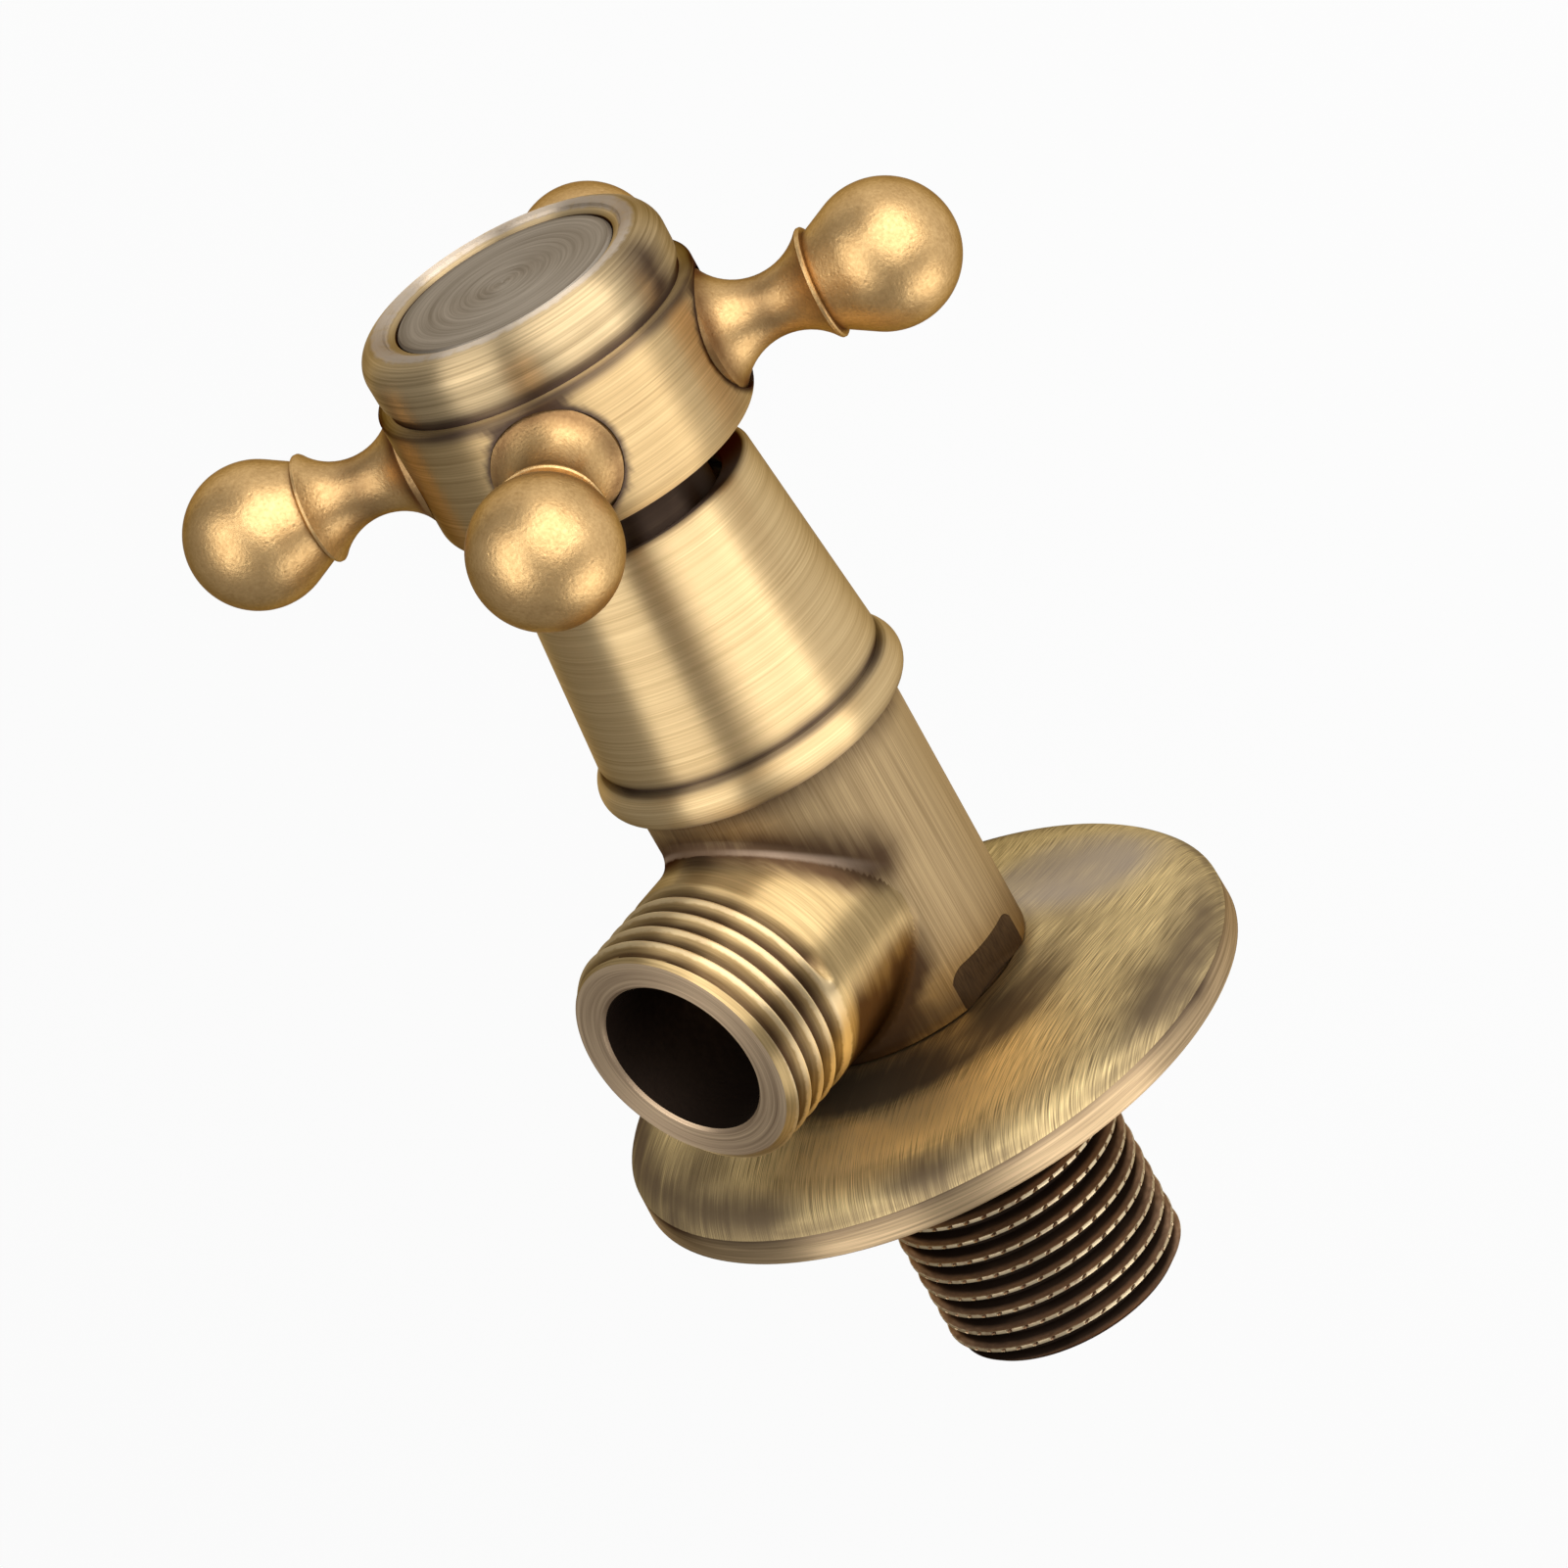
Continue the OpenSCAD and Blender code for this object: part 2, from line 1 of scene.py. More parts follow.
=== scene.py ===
# Angle valve with a cross handle, in brushed and lacquered antique brass.
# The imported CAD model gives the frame. Its turned and cast pieces are made again
# here with threads, fillets and soft edges, and the inner pieces get finishes.
# Lengths are written in millimetres, with distances out of the wall along -Y.

import json
import math

import bmesh
import bpy
from mathutils import Matrix, Vector


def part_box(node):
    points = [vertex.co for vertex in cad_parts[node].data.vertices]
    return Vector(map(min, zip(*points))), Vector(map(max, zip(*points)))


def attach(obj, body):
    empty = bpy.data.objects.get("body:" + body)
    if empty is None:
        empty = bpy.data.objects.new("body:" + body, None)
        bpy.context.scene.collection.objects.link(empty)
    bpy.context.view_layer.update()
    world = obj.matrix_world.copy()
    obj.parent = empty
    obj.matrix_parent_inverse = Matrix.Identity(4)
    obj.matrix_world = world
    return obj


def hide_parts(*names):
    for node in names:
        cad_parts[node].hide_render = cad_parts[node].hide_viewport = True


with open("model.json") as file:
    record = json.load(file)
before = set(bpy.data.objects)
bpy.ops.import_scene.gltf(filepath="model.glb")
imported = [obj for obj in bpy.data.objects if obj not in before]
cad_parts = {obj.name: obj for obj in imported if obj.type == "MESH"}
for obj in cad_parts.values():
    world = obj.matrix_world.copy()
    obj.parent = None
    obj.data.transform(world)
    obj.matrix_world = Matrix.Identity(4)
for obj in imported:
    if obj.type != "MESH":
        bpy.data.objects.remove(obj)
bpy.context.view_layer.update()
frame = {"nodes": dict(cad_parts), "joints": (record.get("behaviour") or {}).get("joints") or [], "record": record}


# Studio
# The valve hangs free over a pale floor, and the camera looks at its handle end
# from the outlet's side. Three soft boxes make the stripes along the brass, and
# the floor and a grey room fill the rest.
MM = 0.001
eye = Vector((-351.241, -237.041, 308.389)) * MM
aim = Vector((8.180, -22.396, -6.896)) * MM
camera_roll = math.radians(-139.274)
lens_mm = 149.36
sensor_mm = 36

camera = bpy.data.objects.new("camera", bpy.data.cameras.new("camera"))
camera.data.sensor_width = sensor_mm
camera.data.lens = lens_mm
camera.data.clip_start = 0.05
facing = (eye - aim).to_track_quat("Z", "Y").to_matrix().to_4x4()
camera.matrix_world = (
    Matrix.Translation(eye) @ facing @ Matrix.Rotation(camera_roll, 4, "Z")
)
bpy.context.collection.objects.link(camera)
bpy.context.scene.camera = camera
bpy.context.scene.view_settings.view_transform = "Standard"


def add_node(tree, kind, inputs=None, **settings):
    """Adds a node, sets its options, and fills or links its inputs."""
    made = tree.nodes.new(kind)
    for key, value in settings.items():
        setattr(made, key, value)
    for key, value in (inputs or {}).items():
        if isinstance(value, bpy.types.NodeSocket):
            tree.links.new(value, made.inputs[key])
        else:
            made.inputs[key].default_value = value
    return made


def new_material(name):
    """A material with a Principled shader; returns it, its tree and the shader."""
    made = bpy.data.materials.new(name)
    made.use_nodes = True
    return made, made.node_tree, made.node_tree.nodes["Principled BSDF"]


def math_of(tree, operation, a, b=0, clamp=False):
    """A Math node of one or two inputs; returns its value."""
    made = add_node(tree, "ShaderNodeMath", {0: a, 1: b}, operation=operation)
    made.use_clamp = clamp
    return made.outputs[0]


# The floor shows white to the camera and in the brass, and keeps its shadow
floor_drop = 420 * MM
floor_size = 6
floor_colour = (0.86, 0.86, 0.85, 1)
floor_roughness = 0.9
floor_glow_share = 0.92
white = (1, 1, 1, 1)
floor_form = bmesh.new()
bmesh.ops.create_grid(floor_form, x_segments=1, y_segments=1, size=floor_size / 2)
bmesh.ops.translate(floor_form, verts=floor_form.verts, vec=(0, 0, -floor_drop))
floor_mesh = bpy.data.meshes.new("floor")
floor_form.to_mesh(floor_mesh)
floor_form.free()
floor = bpy.data.objects.new("floor", floor_mesh)
bpy.context.collection.objects.link(floor)
floor_paint, floor_tree, floor_shader = new_material("floor_paint")
floor_shader.inputs["Base Color"].default_value = floor_colour
floor_shader.inputs["Roughness"].default_value = floor_roughness
rays = add_node(floor_tree, "ShaderNodeLightPath").outputs
seen = rays["Is Camera Ray"]
for kind in ("Is Glossy Ray", "Is Transmission Ray"):
    seen = math_of(floor_tree, "MAXIMUM", seen, rays[kind])
share = math_of(floor_tree, "MULTIPLY", seen, floor_glow_share)
pale = add_node(floor_tree, "ShaderNodeEmission", {"Color": white, "Strength": 1.0})
floor_mix = add_node(
    floor_tree, "ShaderNodeMixShader", {0: share, 1: floor_shader.outputs[0], 2: pale.outputs[0]}
)
floor_out = floor_tree.nodes["Material Output"]
floor_tree.links.new(floor_mix.outputs[0], floor_out.inputs["Surface"])
floor_mesh.materials.append(floor_paint)

# Lamps one metre from the valve. One that gives 4 W for each square metre of its
# face shows a radiance of 1.
valve_middle = Vector((0, -25, 0)) * MM
lamp_distance = 1.0
watts_for_glow = 4
room_glow = 0.33


def soft_box(name, direction, width, height, glow):
    """An oblong lamp turned to the valve, with its size in metres and its radiance."""
    lamp = bpy.data.lights.new(name, "AREA")
    lamp.shape = "RECTANGLE"
    lamp.size = width
    lamp.size_y = height
    lamp.energy = watts_for_glow * width * height * glow
    box = bpy.data.objects.new(name, lamp)
    heading = Vector(direction).normalized()
    box.matrix_world = (
        Matrix.Translation(valve_middle + heading * lamp_distance)
        @ heading.to_track_quat("Z", "Y").to_matrix().to_4x4()
    )
    bpy.context.collection.objects.link(box)


soft_box("front_lamp", (-0.735, -0.619, 0.112), 1.27, 1.32, 2.15)
soft_box("top_lamp", (0.092, -0.447, 0.992), 0.73, 1.31, 1.65)
soft_box("wall_lamp", (-0.714, 0.796, 0.048), 0.71, 0.77, 1.65)

room = bpy.data.worlds.new("room")
room.use_nodes = True
room.node_tree.nodes["Background"].inputs["Color"].default_value = white
room.node_tree.nodes["Background"].inputs["Strength"].default_value = room_glow
bpy.context.scene.world = room


# Valve body
# One forging of brass, turned and threaded: a barrel, an outlet boss with a
# hose thread, and an inlet shank whose crests are notched to hold hemp. It is
# brushed along the barrel and round the boss, with patina in the hollows, painted
# shade round the boss and on the flange's side, and a painted highlight line in the crease.
AXIS = Vector((0, 1, 0))


def frame_box(node):
    """The two corners of the frame's box round a piece, in millimetres."""
    return [[round(value / MM, 3) for value in corner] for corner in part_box(node)]


mounts = {mount["name"]: mount for mount in frame["record"]["mounts"]}
body_low, body_high = frame_box("valve_body")
barrel_r = body_high[0]
barrel_foot = 7.2
barrel_top = 31.8
spigot_r = 10.6
spigot_top = -body_low[1]
boss_r = 10.38
outlet_at = round(-mounts["outlet_thread"]["pos_m"][1] / MM, 3)
outlet_end = body_high[2]
outlet_bore_r = 7
crest_r = mounts["inlet_thread"]["dims"]["r_mm"]
thread_pitch = 1.814
round_steps = 160


def arc(centre_r, centre_s, radius, start, end, steps=8):
    """Points of an arc, with angles from the radius towards the handle."""
    angles = [math.radians(start + (end - start) * i / steps) for i in range(steps + 1)]
    return [
        (centre_r + radius * math.cos(a), centre_s + radius * math.sin(a)) for a in angles
    ]


def curve(a, b, c, d, steps=12):
    """Points of a smooth curve with four control points."""
    points = []
    for i in range(steps + 1):
        t = i / steps
        u = 1 - t
        weights = (u * u * u, 3 * u * u * t, 3 * u * t * t, t * t * t)
        points.append(tuple(
            sum(w * p[k] for w, p in zip(weights, (a, b, c, d))) for k in range(2)
        ))
    return points


def turned(outline, steps=round_steps, longest=1.2):
    """Turns an outline of (radius, distance) pairs about the main axis.

    Long stretches are divided, so that patina, wear and painted light have points to lie on.
    """
    metal = bmesh.new()
    chain = [metal.verts.new((r, -s, 0)) for r, s in outline]
    pairs = list(zip(chain, chain[1:]))
    if outline[0][0] > 0:
        pairs.append((chain[-1], chain[0]))
    for pair in pairs:
        metal.edges.new(pair)
    for edge in list(metal.edges):
        cuts = int(edge.calc_length() / longest)
        if cuts:
            bmesh.ops.subdivide_edges(metal, edges=[edge], cuts=cuts)
    bmesh.ops.spin(
        metal, geom=metal.verts[:] + metal.edges[:], cent=(0, 0, 0), axis=AXIS,
        angle=math.tau, steps=steps, use_merge=True,
    )
    bmesh.ops.remove_doubles(metal, verts=metal.verts, dist=0.002)
    bmesh.ops.recalc_face_normals(metal, faces=metal.faces)
    return metal


def as_object(metal, name):
    """Puts a bmesh in the scene as an object, still in millimetres."""
    mesh = bpy.data.meshes.new(name)
    metal.to_mesh(mesh)
    metal.free()
    made = bpy.data.objects.new(name, mesh)
    bpy.context.collection.objects.link(made)
    return made


def worked(piece, tool, operation):
    """Joins, cuts or trims a closed solid with a tool, which is used up."""
    step = piece.modifiers.new("work", "BOOLEAN")
    step.operation = operation
    step.solver = "MANIFOLD"
    step.object = tool
    bpy.context.view_layer.update()
    shape = piece.evaluated_get(bpy.context.evaluated_depsgraph_get())
    before = piece.data
    after = bpy.data.meshes.new_from_object(shape)
    piece.modifiers.clear()
    piece.data = after
    bpy.data.meshes.remove(before)
    bpy.data.objects.remove(tool)


def threaded(offsets, radii, axis, centre, start, begin, turns, columns):
    """A helical skin with closed ends, from one pitch of a thread's profile."""
    metal = bmesh.new()
    place = metal.verts.layers.float.new("offset")
    centre = Vector(centre)
    chain = []
    for offset, radius in zip(offsets, radii):
        vert = metal.verts.new(centre + axis * (begin + offset) + start * radius)
        vert[place] = offset
        chain.append(vert)
    for pair in zip(chain, chain[1:]):
        metal.edges.new(pair)
    bmesh.ops.spin(
        metal, geom=metal.verts[:] + metal.edges[:], cent=centre, axis=axis,
        dvec=axis * (thread_pitch / columns), angle=math.tau, steps=columns,
    )
    first_turn = metal.verts[:] + metal.edges[:] + metal.faces[:]
    for turn in range(1, turns):
        copied = bmesh.ops.duplicate(metal, geom=first_turn)["geom"]
        moved = [item for item in copied if isinstance(item, bmesh.types.BMVert)]
        bmesh.ops.translate(metal, verts=moved, vec=axis * (thread_pitch * turn))
    bmesh.ops.remove_doubles(metal, verts=metal.verts, dist=0.01)
    rims = [edge for edge in metal.edges if edge.is_boundary]
    middle = begin + thread_pitch * turns / 2
    for far in (False, True):
        rim = [
            edge for edge in rims
            if ((edge.verts[0].co - centre).dot(axis) > middle) == far
        ]
        grown = bmesh.ops.extrude_edge_only(metal, edges=rim)["geom"]
        inner = [item for item in grown if isinstance(item, bmesh.types.BMVert)]
        height = begin + thread_pitch * turns if far else begin
        bmesh.ops.pointmerge(metal, verts=inner, merge_co=centre + axis * height)
    bmesh.ops.recalc_face_normals(metal, faces=metal.faces)
    return metal


# The barrel without its bores: relief and neck, barrel, spigot and ring groove
relief_foot = 0.6
relief_top = 2.7
relief_r = 9.28
neck_foot = 3.2
foot_round = 0.3
ring_floor_r = 9.85
ring_foot = 34.4
ring_top = 35.6
barrel_form = turned([
    (0, relief_foot), (relief_r, relief_foot), (relief_r, relief_top),
    (crest_r, neck_foot), (crest_r, barrel_foot), (barrel_r - foot_round, barrel_foot),
    (barrel_r - 0.08, barrel_foot + 0.08), (barrel_r, barrel_foot + foot_round),
    (barrel_r, barrel_top), (spigot_r, barrel_top), (spigot_r, ring_foot),
    (ring_floor_r, ring_foot), (ring_floor_r, ring_top), (spigot_r, ring_top),
    (spigot_r, spigot_top), (0, spigot_top),
], longest=0.7)
body = as_object(barrel_form, "body")

# The inlet shank: sharp crests, a flat on each, notched every few degrees
inlet_end = body_high[1]
inlet_start = 1.2
root_depth = 1.16
notch_count = 42
notch_columns = 4
notch_angle = math.radians(1.5)
notch_depth = 0.45
crest_flat = 0.15
half_pitch = thread_pitch / 2
inlet_turns = 16
closing_r = 5  # inside it a skin's points only close its ends
flank = [(half_pitch, root_depth), (0.76, root_depth), (0.46, 0.62), (crest_flat, 0.03)]
inlet_profile = [(-offset, depth) for offset, depth in flank] + [(0, 0)] + flank[::-1]
inlet_begin = -inlet_start - 1
inlet_columns = notch_count * notch_columns
shank_form = threaded(
    [offset for offset, depth in inlet_profile],
    [crest_r - depth for offset, depth in inlet_profile],
    AXIS, (0, 0, 0), Vector((1, 0, 0)), inlet_begin, inlet_turns, inlet_columns,
)
offset_layer = shank_form.verts.layers.float["offset"]
for vert in shank_form.verts:
    radius = math.hypot(vert.co.x, vert.co.z)
    if radius < closing_r:
        continue
    offset = vert[offset_layer]
    turn = (vert.co.y - inlet_begin - offset) / thread_pitch
    column = round(turn * inlet_columns)
    phase = column % notch_columns
    if phase == 0 and abs(offset) <= crest_flat:
        radius -= notch_depth
    step = math.tau / inlet_columns
    angle = column * step
    if phase == 1:
        angle += notch_angle - step
    if phase == notch_columns - 1:
        angle += step - notch_angle
    vert.co = Vector((radius * math.cos(angle), vert.co.y, -radius * math.sin(angle)))
shank = as_object(shank_form, "shank")
end_chamfer = 0.9
wide = 14  # past every radius of the body
end_r = crest_r - end_chamfer
shank_limit = as_object(turned([
    (0, inlet_start), (wide, inlet_start), (wide, wide - end_r - inlet_end),
    (end_r, -inlet_end), (0, -inlet_end),
]), "shank_limit")
worked(shank, shank_limit, "INTERSECT")
worked(body, shank, "UNION")

# The outlet boss: its skin is one helix, plain at first, then the hose thread.
# Its foot flares out to meet the barrel in a soft fillet.
hose_depth = 1.0
groove_first = 8
groove_at = 15.0
groove_angle = math.radians(-179)
groove_onset = 22
boss_begin = groove_at - groove_first * thread_pitch
boss_turns = 14
boss_columns = 160
boss_rows = 12
fillet_middle = 1.3
fillet_swing = 0.65
fillet_arc = 1.6
fillet_sink = 0.03
sink_limit = 2.0
boss_offsets = [half_pitch * (2 * i / boss_rows - 1) for i in range(boss_rows + 1)]
boss_form = threaded(
    boss_offsets, [boss_r] * len(boss_offsets), Vector((0, 0, 1)), (0, -outlet_at, 0),
    Vector((math.cos(groove_angle), math.sin(groove_angle), 0)), boss_begin, boss_turns,
    boss_columns,
)


def on_barrel(across, along, sink=0):
    """A point on or just under the barrel, from its place on the unrolled surface."""
    angle = across / barrel_r
    r = barrel_r - sink
    return Vector((r * math.sin(angle), -(outlet_at + along), r * math.cos(angle)))


offset_layer = boss_form.verts.layers.float["offset"]
for vert in boss_form.verts:
    side = vert.co.x
    lift = -vert.co.y - outlet_at
    if math.hypot(side, lift) < closing_r:
        continue
    turn = math.atan2(side, lift)
    foot = math.sqrt(barrel_r ** 2 - (boss_r * math.sin(turn)) ** 2)
    fillet = fillet_middle + fillet_swing * math.cos(turn)
    past = (foot + fillet - vert.co.z) / (fillet * fillet_arc)
    if past > 0:
        across = barrel_r * math.asin(boss_r * math.sin(turn) / barrel_r)
        along = boss_r * math.cos(turn)
        upper = Vector((side, vert.co.y, foot + fillet))
        corner = on_barrel(across, along)
        lower = on_barrel(
            across + fillet * math.sin(turn), along + fillet * math.cos(turn), fillet_sink
        )
        t = min(past, 1)
        vert.co = upper * (1 - t) ** 2 + corner * 2 * t * (1 - t) + lower * t * t
        if past > 1:
            sunk = sink_limit * (1 - math.exp((1 - past) * fillet * fillet_arc / sink_limit))
            shrink = 1 - sunk / barrel_r
            vert.co.x *= shrink
            vert.co.z *= shrink
        continue
    offset = vert[offset_layer]
    turns_in = (vert.co.z - boss_begin - offset) / thread_pitch - groove_first
    if turns_in > 0.5 / boss_columns:
        depth = hose_depth * math.cos(math.pi * offset / thread_pitch) ** 2
        depth *= min(1, turns_in * groove_onset)
        vert.co.x *= 1 - depth / boss_r
        vert.co.y = -outlet_at - lift * (1 - depth / boss_r)
boss = as_object(boss_form, "boss")
to_outlet = Matrix.Translation((0, -outlet_at, 0)) @ Matrix.Rotation(math.radians(-90), 4, "X")
hose_end_r = 9.58
limit_form = turned([
    (0, -4), (wide, -4), (wide, outlet_end - wide + hose_end_r),
    (hose_end_r, outlet_end), (0, outlet_end),
])
bmesh.ops.transform(limit_form, matrix=to_outlet, verts=limit_form.verts)
worked(boss, as_object(limit_form, "boss_limit"), "INTERSECT")
worked(body, boss, "UNION")

# Wrench flats, cut from the foot of the barrel only, with rounded corners
flat_at = 10.4
flat_top = 10.75
flat_corner_r = 1.7
flat_half = 4.6
flat_cut = 4
for side in (-1, 1):
    outline = [(-flat_half, barrel_foot - 0.02)]
    outline += arc(
        flat_corner_r - flat_half, flat_top - flat_corner_r, flat_corner_r, 180, 90, 10
    )
    outline += [(-across, up) for across, up in outline[::-1]]
    cutter = bmesh.new()
    corners = [cutter.verts.new((side * flat_at, -up, across)) for across, up in outline]
    inner_face = cutter.faces.new(corners)
    grown = bmesh.ops.extrude_face_region(cutter, geom=[inner_face])["geom"]
    far = [item for item in grown if isinstance(item, bmesh.types.BMVert)]
    bmesh.ops.translate(cutter, verts=far, vec=(side * flat_cut, 0, 0))
    bmesh.ops.recalc_face_normals(cutter, faces=cutter.faces)
    worked(body, as_object(cutter, "flat_cutter"), "DIFFERENCE")

# The water way: inlet bore, seat, chamber and the bore for the housing's thread,
# then the outlet bore with a broken edge
past_inlet = -26
past_spigot = 37
inlet_bore_r = 6.5
seat_r = 5.5
seat_foot = 7.5
seat_top = 9.5
chamber_r = 8.2
chamber_top = 25.0
housing_bore_r = 9.05
edge_break = 0.25
worked(body, as_object(turned([
    (0, past_inlet), (inlet_bore_r, past_inlet), (inlet_bore_r, seat_foot),
    (seat_r, seat_foot), (seat_r, seat_top), (chamber_r, seat_top), (chamber_r, chamber_top),
    (housing_bore_r, chamber_top), (housing_bore_r, past_spigot), (0, past_spigot),
]), "water_way"), "DIFFERENCE")
outlet_form = turned([
    (0, 0), (outlet_bore_r, 0), (outlet_bore_r, outlet_end - edge_break),
    (outlet_bore_r + 2 * edge_break, outlet_end + edge_break), (0, outlet_end + edge_break),
])
bmesh.ops.transform(outlet_form, matrix=to_outlet, verts=outlet_form.verts)
worked(body, as_object(outlet_form, "outlet_bore"), "DIFFERENCE")


def finish(piece, body_name, nodes, smooth=32):
    """Scales a piece to metres, shades it smooth, and ties it to the frame."""
    piece.data.transform(Matrix.Scale(MM, 4))
    for face in piece.data.polygons:
        face.use_smooth = True
    piece.data.set_sharp_from_angle(angle=math.radians(smooth))
    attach(piece, body_name)
    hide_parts(*nodes)


def store_marks(piece, amount, kind="patina"):
    """Stores a value up to 1 for each point, for patina, wear, painted shade and painted sheen. A value below 0
    paints a highlight.
    """
    layer = piece.data.attributes.new(kind, "FLOAT", "POINT")
    layer.data.foreach_set(
        "value", [min(max(amount(vert.co), -1), 1) for vert in piece.data.vertices]
    )


def near(place, point, reach):
    """One at a place, fading to nothing at a distance."""
    return max(0, 1 - math.dist(place, point) / reach)


shank_end = neck_foot + 0.1
collar_foot = 13.4
collar_top = 15.2
boss_inner_r = 9.1


def body_patina_and_shade(point):
    side, up = point.x, point.z
    out = -point.y
    from_axis = math.hypot(side, up)
    from_outlet = math.hypot(side, out - outlet_at)
    if out < shank_end:
        return (crest_r - 0.22 - from_axis) / 0.5
    # Darker on the flange's side of the outlet, over boss and barrel alike: painted shade over the patina.
    low = (outlet_at + 0.6 - out) / 4.5
    if up > collar_foot and from_outlet > boss_inner_r:
        if up >= outlet_end - end_chamfer:
            return 0
        low = max(low, 0)
        groove = 0.85 * (boss_r - from_outlet)
        return max(low * (collar_top - up) / 2, low / 3, groove)
    dark = 0
    # Round the boss, darkest at the crease and on the handle's side: painted shade over the patina.
    if 0 < up <= collar_foot and barrel_foot < out < barrel_top:
        on_boss = from_axis - barrel_r > abs(from_outlet - boss_r)
        gap = max(abs(from_axis - barrel_r), abs(from_outlet - boss_r))
        handle_side = min(max((out - outlet_at - 0.5) / 4, 0.3), 1)
        dark = handle_side * (1.2 - gap / (2.1 if on_boss else 3.3))
        if on_boss:
            dark = max(dark, min(low, 1))
        else:
            dark = max(dark, min(low, 1.4) - gap / (1.4 + max(0, 10.5 - out)))
        dark *= min(1, up / 4)
    dark = max(dark, 0.7 * near((from_axis, out), (barrel_r, barrel_top), 3.2))
    dark = max(dark, 0.55 * near((from_axis, out), (barrel_r, barrel_foot), 6))
    return max(dark, 0)


def body_wear(point):
    side, up = point.x, point.z
    out = -point.y
    from_axis = math.hypot(side, up)
    from_outlet = math.hypot(side, out - outlet_at)
    if out < shank_end:
        return 1 - (crest_r - from_axis) / 0.3
    if up > collar_foot + 1 and from_outlet > boss_inner_r:
        return min(1 - (boss_r - from_outlet) / 0.5, (up - collar_foot - 1) / 1.2)
    return 0


store_marks(body, body_patina_and_shade)
store_marks(body, body_wear, "wear_and_sheen")


def new_group(name, inputs, outputs):
    """A node group with named sockets, listed under their types."""
    made = bpy.data.node_groups.new(name, "ShaderNodeTree")
    for way, sockets in (("INPUT", inputs), ("OUTPUT", outputs)):
        for kind, labels in sockets.items():
            for label in labels:
                made.interface.new_socket(label, in_out=way, socket_type=kind)
    return made


def vector_of(tree, operation, a, b=None, scale=None):
    """A Vector Math node; returns its vector, or its length where that is asked."""
    inputs = {0: a}
    if b is not None:
        inputs[1] = b
    if scale is not None:
        inputs["Scale"] = scale
    made = add_node(tree, "ShaderNodeVectorMath", inputs, operation=operation)
    return made.outputs["Value" if operation == "LENGTH" else "Vector"]


def ramp(tree, value, start, stop, low=0.0, high=1.0, shape="SMOOTHSTEP"):
    """Rises from low to high as a value goes from start to stop."""
    limits = {"From Min": start, "From Max": stop, "To Min": low, "To Max": high}
    return add_node(
        tree, "ShaderNodeMapRange", {"Value": value, **limits}, interpolation_type=shape
    ).outputs[0]


def blend(tree, share, under, over):
    """Lays a share of one colour over another."""
    return add_node(
        tree, "ShaderNodeMix", {"Factor": share, 6: under, 7: over}, data_type="RGBA"
    ).outputs[2]


# Brushing: streaks drawn out along or round an axis, on two scales
broad_scale = 0.17
brush = new_group(
    "brush_marks",
    {
        "NodeSocketVector": ["Vector", "Straight"],
        "NodeSocketFloat": ["Round", "Along", "Out", "Twist"],
    },
    {"NodeSocketFloat": ["Fine", "Broad"]},
)


def fill_brush(tree):
    given = add_node(tree, "NodeGroupInput").outputs
    x, y, z = add_node(tree, "ShaderNodeSeparateXYZ", {0: given["Vector"]}).outputs
    flat = add_node(tree, "ShaderNodeCombineXYZ", {0: x, 2: z}).outputs[0]
    radius = vector_of(tree, "LENGTH", flat)
    twist = math_of(tree, "MULTIPLY", radius, given["Twist"])
    swirled = add_node(
        tree, "ShaderNodeVectorRotate", {"Vector": flat, "Angle": twist}, rotation_type="Y_AXIS"
    ).outputs[0]
    heading = vector_of(tree, "NORMALIZE", swirled)
    spread = vector_of(tree, "SCALE", heading, scale=given["Round"])
    lines = vector_of(tree, "MULTIPLY", swirled, given["Straight"])
    along = math_of(tree, "MULTIPLY", y, given["Along"])
    lift = add_node(tree, "ShaderNodeCombineXYZ", {1: along}).outputs[0]
    place = vector_of(tree, "ADD", vector_of(tree, "ADD", spread, lift), lines)
    out = math_of(tree, "MULTIPLY", radius, given["Out"])
    fine = add_node(
        tree, "ShaderNodeTexNoise",
        {"Vector": place, "W": out, "Scale": 1.0, "Detail": 2.0, "Roughness": 0.6},
        noise_dimensions="4D",
    ).outputs[0]
    slow = vector_of(tree, "SCALE", place, scale=broad_scale)
    slow_out = math_of(tree, "MULTIPLY", out, broad_scale)
    broad = add_node(
        tree, "ShaderNodeTexNoise",
        {"Vector": slow, "W": slow_out, "Scale": 1.0, "Detail": 3.0, "Roughness": 0.55},
        noise_dimensions="4D",
    ).outputs[0]
    add_node(tree, "NodeGroupOutput", {"Fine": fine, "Broad": broad})


fill_brush(brush)

# A painted highlight line in the hollow between the barrel and the boss: where a point
# is about as far outside the one as the other, on the handle's side
valley_highlight_shift = 0.35
valley_highlight_half = 0.5
valley_highlight = new_group(
    "painted_valley_highlight", {"NodeSocketVector": ["Vector"]}, {"NodeSocketFloat": ["Line"]}
)


